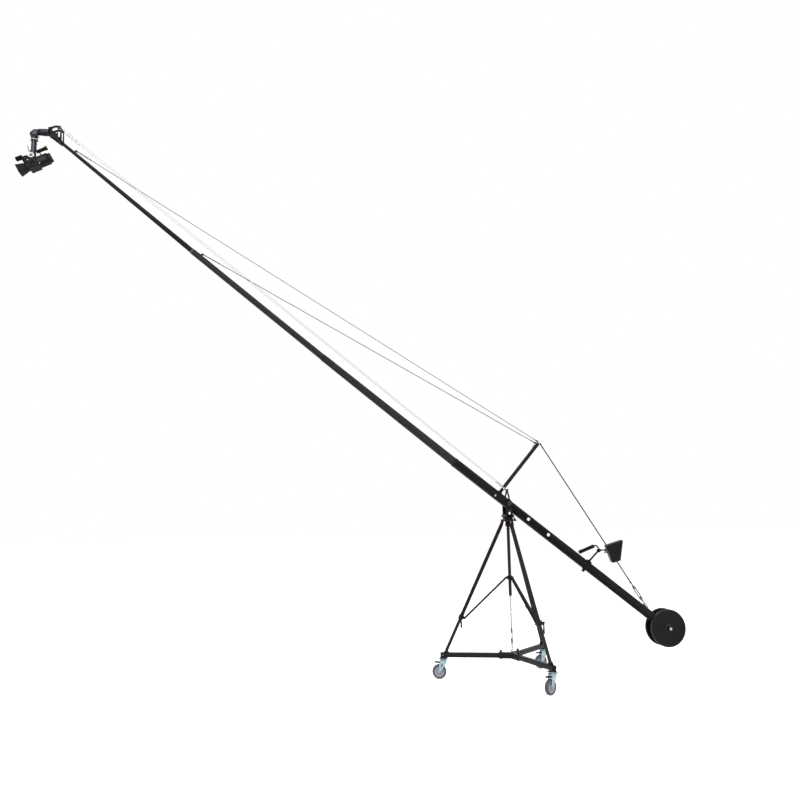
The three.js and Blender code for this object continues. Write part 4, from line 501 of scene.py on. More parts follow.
def makeCrown():
    s = crownSizes
    hub, radius, height = s["hub"], s["radius"], s["top"] - s["low"]
    under, rise = s["top"] - s["plate"], height - s["plate"]
    bm = bmesh.new()
    addTurned(bm, [(hub - 1, 0), (hub, 1), (hub, rise - 3), (hub + 3, rise), (radius - 1.5, rise),
                   (radius, rise + 1.5), (radius, height - 6), (radius - 2, height - 4.5),
                   (s["crest"], height), (10, height)], (0, 0, s["low"]), (0, 0, s["top"]), 72)
    x, z = layout["legPivotX"], layout["legPivotZ"]
    ear = belt([(x, z, s["earRadius"]), (x - 3, under + 3, 3), (x - 22, under + 3, 3)])
    for radial in radialFrames:
        bothSides(bm, [ear], s["earIn"], s["earOut"], 0.9, radial)
        bolt, screw = bmesh.new(), bmesh.new()
        addPin(bolt, x, z, s["earOut"] + s["bolt"], s["bolt"], s["boltHead"])
        addSoftRod(screw, (radius - 1, 0, under + 8), (radius + 0.2, 0, under + 8), 4, 0.4)
        addMesh(bm, bolt, radial)
        addMesh(bm, screw, radial @ turn(60, 'Z'))
    piece(bm, "crownCasting", "tripod", "crownBlack", node="crown")


columnSizes = {"radius": 14, "low": 722, "top": 1382.7, "eyeAt": 710, "eye": 4.2, "bandAt": 1300}


def makeColumn():
    s = columnSizes
    radius, length = s["radius"], s["top"] - s["low"]
    bm = bmesh.new()
    addTurned(bm, [(radius - 3, 0), (radius, 3), (radius, 658), (radius - 2, 660)],
              (0, 0, s["low"]), (0, 0, s["low"] + length), 40)
    addPlate(bm, [belt([(0, s["eyeAt"], 9), (8, s["low"], 3), (-8, s["low"], 3)]),
                  circle(0, s["eyeAt"], s["eye"])], -3, 3, edge=0.8)
    addTurned(bm, [(14.2, 0), (15.5, 1), (15.5, 11), (14.2, 12)], (0, 0, s["bandAt"]),
              (0, 0, s["bandAt"] + 12), 40)
    piece(bm, "centreColumn", "tripod", "legBlack", node="centre_column")


legSizes = {"radius": 16, "tang": 10, "eye": 15.6, "hole": 5.4, "collarAt": 892, "collarRadius": 22,
            "collarTop": 869, "collarLength": 46, "lowerRadius": 14, "lowerBore": 10.4, "lowerTop": 572,
            "pinAt": 1219.98, "shoe": 12}
braceSizes = {"across": 32, "half": 7.8, "width": 12, "earIn": 12.3, "earOut": 16.3, "pinHalf": 20.2,
              "bolt": 4, "head": 6.5, "collarX": 33, "collarZ": 875, "collarLow": 858, "collarHigh": 892}


def addBraceEar(bm, ear, x, z, matrix=Matrix()):
    s = braceSizes
    bothSides(bm, [ear], s["earIn"], s["earOut"], 0.8, matrix)
    bolt = bmesh.new()
    addPin(bolt, x, z, s["pinHalf"], s["bolt"], s["head"])
    addMesh(bm, bolt, matrix)


def makeLegs():
    s, at, across = legSizes, legSizes["collarAt"], braceSizes["across"]
    radius, collar, length = s["radius"], s["collarRadius"], s["collarLength"]
    for number, legFrame in enumerate(legFrames, 1):
        bm = bmesh.new()
        addPlate(bm, [belt([(0, 0, s["eye"]), (0, -30, s["eye"])]), circle(0, 0, s["hole"])],
                 -s["tang"], s["tang"], edge=1.2)
        addTurned(bm, [(12, 0), (radius, 4), (radius, 852)], (0, 0, -16), (0, 0, -868), 40)
        addTurned(bm, [(radius, 0), (collar - 1.5, 7), (collar, 9), (collar, length - 3),
                       (collar - 2, length), (s["lowerRadius"] + 0.3, length)],
                  (0, 0, -s["collarTop"]), (0, 0, -s["collarTop"] - length), 44)
        addRing(bm, [(radius, 0), (17.4, 0.6), (17.4, 11.4), (radius, 12)], (0, 0, -60), (0, 0, -72), 40)
        # clamp lips with their slit on the lever's side, and their bolts
        for x in (-5.2, 2.2):
            addBox(bm, (x, 14, -at - 20), (x + 3, 30, -at + 20))
        for z in (12 - at, -12 - at):
            addSoftRod(bm, (-9, 26, z), (9, 26, z), 3.4, 0.5, 16)
        addBraceEar(bm, belt([(-across, -at, 8), (-13, -at - 8, 4), (-13, -at + 8, 4)]), -across, -at)
        addRod(bm, (0, 16, -at), (0, 36, -at), 6, 20)
        addRod(bm, (0, 30, -at), (0, 52, -at), 4, 16)
        piece(bm, f"upperLeg{number}", "tripod", "legBlack", legFrame, f"leg_upper_{number}",
              bevel=0.5)

        bm = bmesh.new()
        lower, bore, pinAt = s["lowerRadius"], s["lowerBore"], s["pinAt"]
        end = pinAt - s["shoe"] - 0.3
        length2 = end - s["lowerTop"]
        addRing(bm, [(bore, 0), (lower - 0.6, 0), (lower, 0.6), (lower, length2 - 0.6),
                     (lower - 0.6, length2), (bore, length2)], (0, 0, -s["lowerTop"]), (0, 0, -end), 36)
        addTurned(bm, [(bore - 0.2, 0), (lower, 1.5), (lower + 0.4, 3), (lower + 0.4, 9), (lower, 10),
                       (bore - 0.2, 11)], (0, 0, -end + 8), (0, 0, -end - 2), 36)
        addPlate(bm, [belt([(0, -pinAt, s["shoe"]), (0, 34 - pinAt, s["shoe"])]),
                      circle(0, -pinAt, s["hole"])],
                 -s["tang"], s["tang"], edge=1.2)
        piece(bm, f"lowerLeg{number}", f"lower_leg_{number}", "legBlack", legFrame,
              f"leg_lower_{number}")


leverSizes = {"turned": (26, 26, 150), "start": 36.3, "end": 52.3, "hub": 9,
              "path": [(0, 44.3, -3), (0, 45.5, -28), (0, 44.8, -61), (0, 44.3, -91)]}


def makeClampLevers():
    s, hub = leverSizes, leverSizes["hub"]
    # thin in the middle and full at the end
    radii = [7.4 - 1.2 * math.sin(math.pi * min(1, k / 14)) + (0.5 if k > 18 else 0) for k in range(25)]
    for number, (legFrame, turned) in enumerate(zip(legFrames, s["turned"]), 1):
        bm = bmesh.new()
        addTurned(bm, [(hub - 1.5, 0), (hub, 1.2), (hub, 14), (hub - 1, 16)],
                  (0, s["start"], 0), (0, s["end"], 0), 28)
        addSweep(bm, smoothPath(s["path"]), radii, 16)
        addHex(bm, (0, s["end"] - 0.8, 0), (0, s["end"], 0), 5.5)
        piece(bm, f"clampLever{number}", f"clamp_lever_{number}", "plastic",
              legFrame @ place(0, 0, -legSizes["collarAt"]) @ turn(turned, 'Y'), f"clamp_lever_{number}")


def makeBraces():
    # flat bars from the collar on the column to the clamp collar of each leg
    s = braceSizes
    x, z = s["collarX"], s["collarZ"]
    endX, endZ = downLeg(legSizes["collarAt"], -s["across"])
    bar = [belt([(endX, endZ, s["half"]), (x, z, s["half"])], step=15), circle(x, z, 4.4, 16),
           circle(endX, endZ, 4.4, 16)]
    for number, radial in enumerate(radialFrames, 1):
        bm = bmesh.new()
        addPlate(bm, bar, -s["width"], s["width"], edge=1.5)
        piece(bm, f"braceBar{number}", "tripod", "legBlack", radial, f"brace_{number}")
    bm = bmesh.new()
    addRing(bm, [(14.3, 0), (20, 0), (21, 1), (21, 8), (20, 9), (20, 25), (21, 26), (21, 33), (20, 34),
                 (14.3, 34)],
            (0, 0, s["collarLow"]), (0, 0, s["collarHigh"]), 48)
    for radial in radialFrames:
        addBraceEar(bm, belt([(14, z - 8, 4), (x, z, 8), (14, z + 8, 4)]), x, z, radial)
    piece(bm, "braceCollar", "tripod", "fittingBlack", node="brace_collar")


chainSizes = {"length": 24, "width": 10.5, "wire": 2.3, "low": 255.6, "top": 700.7, "upperLow": 446,
              "upper": 14, "lower": 3, "screwLow": 312, "screwHigh": 434}


def addLink(bm, z, turned):
    # a welded link, as points round its middle line
    s, count = chainSizes, 20
    reach, straight = s["width"] / 2, (s["length"] - s["width"]) / 2
    flat, side = (Vector((1, 0, 0)), Vector((0, 1, 0))) if turned else (Vector((0, 1, 0)), Vector((1, 0, 0)))
    points = []
    for k in range(count):
        rise = math.sin(fullTurn * k / count)
        height = z + reach * rise + (straight if rise > 0 else -straight)
        points.append(flat * reach * math.cos(fullTurn * k / count) + Vector((0, 0, height)))
    loops = []
    for k, point in enumerate(points):
        ahead = (points[(k + 1) % count] - points[k - 1]).normalized()
        loops.append(ringRound(point, side, ahead.cross(side), s["wire"], 8))
    addLoops(bm, loops, closed=True)


def makeChain():
    s = chainSizes
    pitch = s["length"] - 2 * s["wire"] - 0.8
    bm = bmesh.new()
    # each link is turned a quarter from the last
    for count in range(s["upper"]):
        addLink(bm, s["upperLow"] + (s["top"] - s["upperLow"] - 14) * count / (s["upper"] - 1),
                count % 2 == 0)
    for count in range(s["lower"]):
        addLink(bm, s["low"] + 9 + pitch * count, count % 2 == 0)
    # tensioner with its two screw rods
    for x in (-6.4, 6.4):
        addRod(bm, (x, 0, 318), (x, 0, 428), 3.2, 14)
    for low, high in ((s["screwLow"], s["screwLow"] + 14), (s["screwHigh"] - 14, s["screwHigh"])):
        addSoftRod(bm, (0, 0, low), (0, 0, high), 7.8, 1.2, 20)
    for low, high in ((300, 350), (396, 444)):
        addRod(bm, (0, 0, low), (0, 0, high), 3.2, 16)
    chain = piece(bm, "tensionChain", None, "greySteel", node="tension_chain")
    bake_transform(chain)


hubSizes = {"half": 24.3, "inside": 20.3, "reach": 122, "knobAt": 100, "core": 26, "ring": 18.5}


def makeHub():
    s, z = hubSizes, layout["barHeight"]
    half, inside, reach, at = s["half"], s["inside"], s["reach"], s["knobAt"]
    corners = ((-1, -1), (1, -1), (1, 1), (-1, 1))
    bm = bmesh.new()
    for radial in radialFrames:
        # each sleeve is a box open at its outer end
        rows = ((8, half), (reach - 1, half), (reach, half - 0.8), (reach, inside + 0.2), (26, inside))
        addLoops(bm, [[radial @ Vector((x, y * size, z + k * size)) for y, k in corners] for x, size in rows])
        knob = bmesh.new()
        addTurned(knob, [(7, 0), (7, 6), (11, 8), (12, 10), (12, 17), (10.5, 19.5), (3, 20)],
                  (at, 0, z + half - 0.3), (at, 0, z + half + 20), 24)
        addHex(knob, (at, 0, z - half - 8), (at, 0, z - half + 0.3), 9)
        addMesh(bm, knob, radial)
    core = s["core"]
    addTurned(bm, [(core - 6, 0), (core, 1.5), (core, 46.6), (core - 6, 48.6)], (0, 0, z - half),
              (0, 0, z + half), 6)
    addPlate(bm, [belt([(-10, z + half, 3), (10, z + half, 3), (0, z + half + 16, 10)]),
                  circle(0, z + half + 16, 5.2)], -3, 3, edge=0.8)
    piece(bm, "spreaderHub", "spreader_hub", "fittingBlack", node="spreader_hub", bevel=0.8)
    bm = bmesh.new()
    ring = s["ring"]
    addRing(bm, [(ring - 3, 0), (ring, 0.6), (ring, 3.4), (ring - 3, 4)], (0, 0, z + half + 0.1),
            (0, 0, z + half + 4), 40)
    piece(bm, "hubRing", "spreader_hub", "steel")


barSizes = {"half": 20, "inner": 50, "outer": 634, "footLow": 169.3, "earIn": 10.3, "earOut": 15.3,
            "pinHalf": 20.3, "bolt": 5, "boltHead": 7.5, "knobX": 612}


def barSection(half):
    # a square tube's outside with rounded corners, from the corner at the lower left
    corner = [(3 - half, -half), (half - 3, -half), (half - 0.9, 0.9 - half)]
    points = []
    for quarter in range(4):
        c, s = ((1, 0), (0, 1), (-1, 0), (0, -1))[quarter]
        points += [(c * x - s * y, s * x + c * y) for x, y in corner]
    return points


def makeBars():
    s, z, half = barSizes, layout["barHeight"], barSizes["half"]
    pinX, pinZ = downLeg(legSizes["pinAt"])
    foot, outer = layout["footRadius"], s["outer"]
    for number, radial in enumerate(radialFrames, 1):
        body = f"lower_leg_{number}"
        bm = bmesh.new()
        addLoops(bm, [[Vector((x, y * k, z + w * k)) for y, w in barSection(half)]
                      for x, k in ((70, 0.85), (s["inner"], 0.85), (s["inner"], 1), (outer, 1))])
        ear = belt([(pinX - 18, z + half, 5), (pinX + 18, z + half, 5), (pinX, pinZ, 12)])
        bothSides(bm, [ear], s["earIn"], s["earOut"], 0.9)
        addPin(bm, pinX, pinZ, s["pinHalf"], s["bolt"], s["boltHead"])
        addBox(bm, (foot - 24, -half, s["footLow"]), (foot + 24, half, 188))
        addSoftRod(bm, (foot, 0, 149.1), (foot, 0, 154.1), 12, 0.8, 6)
        addRod(bm, (foot, 0, 150), (foot, 0, 170), 6.8)
        piece(bm, f"spreaderBar{number}", body, "legBlack", radial, f"spreader_bar_{number}",
              bevel=0.4)
        bm = bmesh.new()
        addPlate(bm, [boxBelt(33, 26, 6, middle=foot)], 169, 174, along="z", edge=0.8)
        for x in (foot - 31, foot + 31):
            for y in (-24, 24):
                addHex(bm, (x, y, 173.9), (x, y, 179), 6)
        piece(bm, f"casterPlate{number}", body, "zinc", radial)
        bm = bmesh.new()
        addPlate(bm, [[(outer, -19), (outer + 1.2, -19), (outer + 1.2, 19), (outer, 19)]], z - 19, z + 19,
                 along="z", edge=0.3)
        piece(bm, f"barCap{number}", body, "plastic", radial)
        bm = bmesh.new()
        addTurned(bm, [(4, 0), (4, 3), (8, 4), (9.5, 6), (9.5, 12), (8, 14), (2, 14.4)],
                  (s["knobX"], half - 1, z + 1), (s["knobX"], half + 14, z + 1), 24)
        piece(bm, f"barKnob{number}", body, "redKnob", radial)


casterSizes = {"trail": 38, "wheel": 62.5, "cheekIn": 17.8, "cheekOut": 20.8, "top": 168.7, "bottom": 154.7,
               "pedalX": 29, "pedalZ": 139.7, "spokes": 6}
treadProfile = [(45.5, 12.8), (52, 15), (56, 15.9), (59.6, 14.2), (61.8, 11), (62.5, 6)]
coreProfile = [(5.4, 17.4), (12.5, 17.4), (14, 16.4), (16, 8), (20, 5.5), (36, 5.2), (41, 8), (44, 12.4),
               (45.6, 12.6)]
pedalOutline = [(-6, 0), (-4, -5), (0, -6.4), (6, -6), (34, -1), (42, 0.4), (52, -1.6), (53.5, 1.2),
                (51, 4.6), (42, 9.4), (34, 9.2), (3, 6.2), (-3, 5.6)]


def bothFaces(profile):
    # a profile for both faces of a wheel, from one
    return [(radius, -side) for radius, side in profile] + profile[::-1]


def makeCasters():
    s = casterSizes
    top, bottom, out, hub = s["top"], s["bottom"], s["cheekOut"], [(s["trail"], s["wheel"])]
    for number, casterFrame in enumerate(casterFrames, 1):
        bm = bmesh.new()
        addRing(bm, [(7.4, 0), (27, 0), (29, 2), (29, 8), (27.5, 9), (27.5, 12), (25, 14), (7.4, 14)],
                (0, 0, bottom), (0, 0, top), 48)
        cheek = belt([(s["trail"], s["wheel"], 11.5), (24, bottom + 5, 8), (-22, bottom + 5, 8),
                      (-20, bottom - 10, 8)])
        bothSides(bm, [cheek, circle(14, 118, 7)], s["cheekIn"], out, 0.8)
        mirrored(addSoftRod, bm, hub, out, out + 1.4, 10.5, 0.4, 28)
        mirrored(addHex, bm, hub, out + 1.2, out + 5.6, 8.6)
        mirrored(addSoftRod, bm, hub, out + 5, out + 6, 5, 0.4, 20)
        addRod(bm, (s["trail"], -20, s["wheel"]), (s["trail"], 20, s["wheel"]), 5)
        addRod(bm, (s["pedalX"], -out, s["pedalZ"]), (s["pedalX"], out, s["pedalZ"]), 3, 16)
        piece(bm, f"casterFork{number}", f"caster_{number}", "zinc", casterFrame,
              f"caster_fork_{number}", bevel=0.4)
        bm = bmesh.new()
        addRing(bm, [(26, 0), (29.6, 0), (30.2, 0.8), (30.2, 4.6), (29.6, 5.4), (26, 5.4)],
                (0, 0, top - 6.6), (0, 0, top - 1.2), 48)
        piece(bm, f"swivelRace{number}", f"caster_{number}", "darkSteel", casterFrame)

        wheelFrame = casterFrame @ place(s["trail"], 0, s["wheel"])
        bm = bmesh.new()
        addRing(bm, bothFaces(treadProfile), (0, 0, 0), (0, 1, 0), 64)
        piece(bm, f"wheelTread{number}", f"wheel_{number}", "tread", wheelFrame,
              f"caster_wheel_{number}", sharp=50)
        bm = bmesh.new()
        addRing(bm, bothFaces(coreProfile), (0, 0, 0), (0, 1, 0), 64)
        for k in range(s["spokes"]):
            rib = bmesh.new()
            addBox(rib, (15, -8.5, -1.6), (42, 8.5, 1.6))
            addMesh(bm, rib, turn(-360 * k / s["spokes"], 'Y'))
        piece(bm, f"wheelCore{number}", f"wheel_{number}", "wheelCore", wheelFrame, bevel=0.5)

        bm = bmesh.new()
        addPlate(bm, [pedalOutline], -17, 17, edge=1.4)
        for x in (36, 40, 44):
            addRod(bm, (x, -14, 9), (x, 14, 9), 1.1, 10)
        piece(bm, f"brakePedal{number}", f"pedal_{number}", "plastic",
              casterFrame @ place(s["pedalX"], 0, s["pedalZ"]), f"brake_pedal_{number}")


makeCrown()
makeColumn()
makeLegs()
makeClampLevers()
makeBraces()
makeChain()
makeHub()
makeBars()
makeCasters()
print("tripod made")


# pan base and yoke, in the yoke's frame from the pivot
panSizes = {"radius": 46, "neck": 16, "low": 1393.3, "high": 1426.3}
yokeSizes = {"inside": 58, "outside": 66, "half": 28.5, "shoulder": 14, "strip": 6.5, "stripFoot": 44,
             "foot": -133, "blockLow": -119.4, "blockHigh": -97, "blockHalf": 40, "pinHalf": 29, "pin": 5,
             "shaft": 9.8, "shaftHalf": 76}
lockSizes = {"x": 44, "z": -111, "path": [(48, 0, -111), (56, 0, -120), (66, 0, -137), (79, 0, -156)]}


def makeYoke():
    bm = bmesh.new()
    s = panSizes
    radius, neck = s["radius"], s["neck"]
    addTurned(bm, [(radius - 4, 0), (radius, 2), (radius, 6.5), (radius - 1.5, 7.2), (radius - 1.5, 8.2),
                   (radius, 9), (radius, 15), (radius - 1.5, 17), (neck, 17), (neck, 32.3), (neck - 1, 33)],
              (0, 0, s["low"]), (0, 0, s["high"]), 72)
    piece(bm, "panDisc", "tripod", "crownBlack", node="pan_base", sharp=30)

    s = yokeSizes
    half, foot, shoulder, strip, stripFoot = s["half"], s["foot"], s["shoulder"], s["strip"], s["stripFoot"]
    outside, rise = s["outside"], layout["linkRise"]
    bm = bmesh.new()
    cheek = belt([(6 - half, foot + 6, 6), (half - 6, foot + 6, 6), (half - 8, shoulder - 4, 8),
                  (strip - 3, stripFoot - 3, 3), (3 - strip, stripFoot - 3, 3), (8 - half, shoulder - 4, 8)])
    bore, slot = circle(0, 0, 10.4, 32), belt([(0, -92, 9), (0, -82, 9)])
    # the near cheek has the slot
    addPlate(bm, [cheek, bore, slot], -outside, -s["inside"], edge=1.0)
    addPlate(bm, [cheek, bore], s["inside"], outside, edge=1.0)
    bail = [(58, 36), (66, 36), (66, 60), (21.2, 109), (21.2, 130), (13.2, 130), (13.2, 105), (58, 56)]
    for side in (-1, 1):
        addPlate(bm, [[(side * y, z) for y, z in bail[::side]]], -strip, strip, along="x", edge=0.8)
    mirrored(addHex, bm, ((-14, -58), (14, -58), (-18, -108), (18, -108)), outside, outside + 4, 6.5)
    mirrored(addSoftRod, bm, ((-14, -58), (14, -58)), outside, outside + 1.2, 8, 0.3)
    addBox(bm, (-s["blockHalf"], -outside, s["blockLow"]), (s["blockHalf"], outside, s["blockHigh"]))
    addRod(bm, (0, -s["pinHalf"], rise), (0, s["pinHalf"], rise), s["pin"])
    mirrored(addHex, bm, [(0, rise)], s["pinHalf"] - 2.2, s["pinHalf"], 9)
    addRod(bm, (s["blockHalf"] - 0.3, 0, lockSizes["z"]), (lockSizes["x"] + 6, 0, lockSizes["z"]), 3, 16)
    piece(bm, "yokeFrame", "yoke", "fittingBlack", yokeFrame, "yoke", bevel=0.7)

    bm = bmesh.new()
    addRod(bm, (0, -s["shaftHalf"], 0), (0, s["shaftHalf"], 0), s["shaft"], 32)
    mirrored(addSoftRod, bm, [(0, 0)], outside + 0.3, outside + 2, 20, 0.5, 40)
    mirrored(addHex, bm, [(0, 0)], outside + 1.6, s["shaftHalf"] + 0.3, 16.8)
    piece(bm, "pivotShaft", "yoke", "darkSteel", yokeFrame, "pivot_shaft", bevel=0.3)

    s = lockSizes
    bm = bmesh.new()
    addTurned(bm, [(5, 0), (6, 1), (6, 5), (5, 6)], (s["x"], 0, s["z"]), (s["x"] + 6, 0, s["z"]), 24)
    addSweep(bm, smoothPath(s["path"]), [4.4 + 1.8 * min(1, k / 18) for k in range(25)], 16)
    piece(bm, "panLockHandle", "pan_lock", "plastic", yokeFrame, "pan_lock_handle")


makeYoke()
print("yoke made")


# arm details, mast and stays, in the arm's frame from the pivot
armSizes = {"half": 39, "spares": (230, 460), "rivets": (-590, -540, 1800, 1885), "boltX": 141, "boltZ": -16,
            "end": 1899.9, "lugRise": 13}
collarSizes = {3: (620, 79.6, "fittingBlack"), 2: (2140, 60.6, "fittingBlack"), 1: (3660, 50.6, "greySteel")}
plugProfile = [(11.7, 0), (11.7, 22.4), (14.6, 22.4), (14.6, 24.4), (14, 25.2), (12, 25.2), (11.6, 24.2),
               (4, 24.2)]


def makeArmDetails():
    s, half = armSizes, armSizes["half"]
    bm = bmesh.new()
    mirrored(lambda bm, start, end: addTurned(bm, plugProfile, start, end, 40), bm,
             [(x, 0) for x in s["spares"]], half - 20, half + 5.2)
    piece(bm, "borePlugs", "arm", "nylon", armFrame)
    bm = bmesh.new()
    mirrored(addSoftRod, bm, [(x, 0) for x in s["rivets"]], half, half + 2.6, 5, 0.9, 20)
    mirrored(addHex, bm, [(s["boltX"], s["boltZ"])], half, half + 4.5, 8)
    piece(bm, "armBolts", "arm", "fittingBlack", armFrame, bevel=0.3)
    bm = bmesh.new()
    mirrored(addHex, bm, [(-s["boltX"], s["boltZ"])], half, half + 4.5, 9.5)
    piece(bm, "brightBolts", "arm", "steel", armFrame, bevel=0.3)
    # a collar where each section slides into the one behind it, with a screw on each side
    for number, (distance, across, finish) in collarSizes.items():
        behind, ahead = aheadOfPivot(distance - 14), aheadOfPivot(distance + 0.2)
        radius = across / 2 * octagonCorner
        bm = bmesh.new()
        addRing(bm, [(radius - 1.1, 0), (radius, 0.5), (radius, 13.2), (radius - 0.8, 14.2),
                     (radius - 3.4, 14.2)],
                behind, ahead, 8)
        middle = (behind + ahead) / 2
        for y, z in ((1, 0), (0, 1), (-1, 0), (0, -1)):
            out = Vector((0, y, z))
            addSoftRod(bm, middle + out * (across / 2 - 0.5), middle + out * (across / 2 + 1.6), 3, 0.5, 14)
        piece(bm, f"jointCollar{number}", "arm", finish, armFrame, bevel=0.3)
    bm = bmesh.new()
    radius = (half - 0.5) * octagonCorner
    addTurned(bm, [(radius, 0), (radius, 2), (radius - 2, 3.6), (4, 3.8)], (s["end"], 0, 0),
              (s["end"] + 3.6, 0, 0), 8)
    piece(bm, "armEndCap", "arm", "plastic", armFrame, bevel=0.6)


mastSizes = {"radius": 17, "low": 53.3, "high": 595, "rearHole": (15, 601), "longHole": (-15, 601),
             "shortHole": (-24, 575)}


def makeMast():
    s, radius = mastSizes, mastSizes["radius"]
    bm = bmesh.new()
    addTurned(bm, [(radius - 1.8, 0), (radius, 1), (radius, 528), (14, 536), (8, 541), (2, 542)],
              (0, 0, s["low"]), (0, 0, s["high"]), 44)
    addRing(bm, [(radius, 0), (radius + 1.2, 0.6), (radius + 1.2, 11.4), (radius, 12)], (0, 0, 57),
            (0, 0, 69), 44)
    piece(bm, "mastTube", "arm", "armBlack", mastFrame, "mast")
    bm = bmesh.new()
    holes = [s["rearHole"], s["longHole"], s["shortHole"]]
    addPlate(bm, [belt([(x, z, 9) for x, z in holes] + [(-17, 526, 4.5), (9, 556, 4.5)])]
             + [circle(x, z, 4.4, 20) for x, z in holes], -4, 4, edge=0.9)
    piece(bm, "mastHeadPlate", "arm", "steel", mastFrame)
    bm = bmesh.new()
    addRing(bm, [(15.2, 0), (18.4, 0), (19.4, 0.8), (19.4, 7.4), (18.4, 8.2), (15.2, 8.2)],
            (0, 0, 45), (0, 0, 53.2), 44)
    piece(bm, "mastRing", "arm", "nylon", mastFrame)


forkSizes = {"radius": 7, "neck": 20, "cheek": 3, "pin": 4, "shank": 3.2}
screwLength = 44


def addFork(bm, pin, direction, inside):
    # a clevis: two cheeks and a pin, with its shank along the wire
    s = forkSizes
    radius, neck, outside = s["radius"], s["neck"], inside + s["cheek"]
    fork = bmesh.new()
    bothSides(fork, [belt([(0, 0, radius), (neck, 0, radius - 3)])], inside, outside, 0.7)
    addBox(fork, (neck - 5, -outside, 3 - radius), (neck, outside, radius - 3))
    addRod(fork, (0, -outside - 1.6, 0), (0, outside + 1.6, 0), s["pin"], 20)
    mirrored(addSoftRod, fork, [(0, 0)], outside, outside + 1.6, 6, 0.4, 20)
    addRod(fork, (neck - 2, 0, 0), (neck + 12, 0, 0), s["shank"], 16)
    addMesh(bm, fork, alongWire(pin, direction))


def addScrew(bm, start, end, at):
    # a closed turnbuckle with its lock nuts, at a distance along the wire
    direction = (end - start).normalized()
    middle, length = start + direction * at, screwLength
    half = length / 2
    addTurned(bm, [(3.2, 0), (5.4, 1.5), (5.4, 12), (3.6, 14), (3.6, length - 14), (5.4, length - 12),
                   (5.4, length - 1.5), (3.2, length)], middle - direction * half,
              middle + direction * half, 20)
    for way in (-direction, direction):
        near = middle + way * (half + 3)
        addHex(bm, near, near + way * 4, 5)
        addRod(bm, middle + way * half, middle + way * (half + 18), 2.6, 14)


def makeStay(name, node, start, end, radius, screws, finish):
    direction = (end - start).normalized()
    bm = bmesh.new()
    addRod(bm, start + direction * 22, end - direction * 22, radius, 12)
    piece(bm, name, "arm", finish, armFrame, node)
    bm = bmesh.new()
    for anchor, way, inside in ((start, direction, 4.3), (end, -direction, 3.3)):
        addFork(bm, anchor, way, inside)
        addRod(bm, anchor + way * 32, anchor + way * 54, radius + 1.2, 16)
    for at in screws:
        addScrew(bm, start, end, (end - start).length - at)
    piece(bm, name + "Ends", "arm", "darkSteel", armFrame, bevel=0.25)


# distance from the pivot, and half the arm's width at both ends of the section that carries the lug
staySizes = {"long": (5030, 3660, 21.7, 13.5), "short": (3570, 2140, 26.7, 24.5), "longRadius": 2.6,
             "shortRadius": 3, "rearRadius": 5.2, "longScrews": (70, 130), "shortScrews": (90, 150),
             "rearAnchorX": 1570, "turnbuckle": 232}


def stayAnchor(distance, sectionStart, wide, narrow):
    half = wide + (narrow - wide) * (distance - sectionStart) / layout["sectionLength"]
    return aheadOfPivot(distance, half + armSizes["lugRise"])


def makeStays():
    s = staySizes
    rearPin, longPin, shortPin = (armFrame.inverted() @ mastFrame @ Vector((x, 0, z)) for x, z in
                                  (mastSizes["rearHole"], mastSizes["longHole"], mastSizes["shortHole"]))
    makeStay("stayLong", "stay_front_long", longPin, stayAnchor(*s["long"]), s["longRadius"], s["longScrews"],
             "darkWire")
    makeStay("stayShort", "stay_front_short", shortPin, stayAnchor(*s["short"]), s["shortRadius"],
             s["shortScrews"], "darkWire")
    anchor = Vector((s["rearAnchorX"], 0, armSizes["half"] + armSizes["lugRise"]))
    run = anchor - rearPin
    split = rearPin + run * (1 - s["turnbuckle"] / run.length)
    makeStay("stayRear", "stay_rear", rearPin, split, s["rearRadius"], (), "blackWire")

    # open turnbuckle, in a frame along the wire
    bm = bmesh.new()
    addPlate(bm, [belt([(0, 0, 8), (12, 0, 5)]), circle(0, 0, 4.4, 20)], -3, 3, edge=0.7)
    for low, high in ((10, 66), (150, 216)):
        addRod(bm, (low, 0, 0), (high, 0, 0), 4.2, 20)
    for x in (30, 172):
        addSoftRod(bm, (x, 0, 0), (x + 18, 0, 0), 8, 1.0, 24)
    for x in (24, 192):
        addHex(bm, (x, 0, 0), (x + 5, 0, 0), 8)
    for z in (-9.4, 9.4):
        addSweep(bm, smoothPath([(38, 0, z * 0.4), (44, 0, z * 0.85), (54, 0, z), (110, 0, z), (166, 0, z),
                                 (176, 0, z * 0.85), (182, 0, z * 0.4)], 5), 5.2, 14)
    addFork(bm, Vector((s["turnbuckle"], 0, 0)), Vector((-1, 0, 0)), 3.3)
    piece(bm, "rearTurnbuckle", "arm", "greySteel", armFrame @ alongWire(split, run),
          "rear_turnbuckle", bevel=0.25)
    bm = bmesh.new()
    x, z = anchor.x, anchor.z
    bothSides(bm, [belt([(x, z, 9), (x + 34, z - 6, 7)])], 8.4, 11.4, 0.7)
    for pinX, pinZ in ((x, z), (x + 34, z - 6)):
        addSoftRod(bm, (pinX, -13, pinZ), (pinX, 13, pinZ), 4, 0.5, 16)
    piece(bm, "rearShackle", "arm", "steel", armFrame)


makeArmDetails()
makeMast()
makeStays()
print("arm dressed")


weightSizes = {"at": 1845, "rim": 166.8, "thick": 20, "start": 42.6, "bore": 12.9, "axle": 12.5,
               "axleHalf": 104.9, "knobSides": 72, "knobLobes": 6}
knobProfile = [(13.2, 0), (21, 0), (24, 1), (25, 3), (25, 14), (23.5, 16.8), (20, 18), (13.2, 18)]


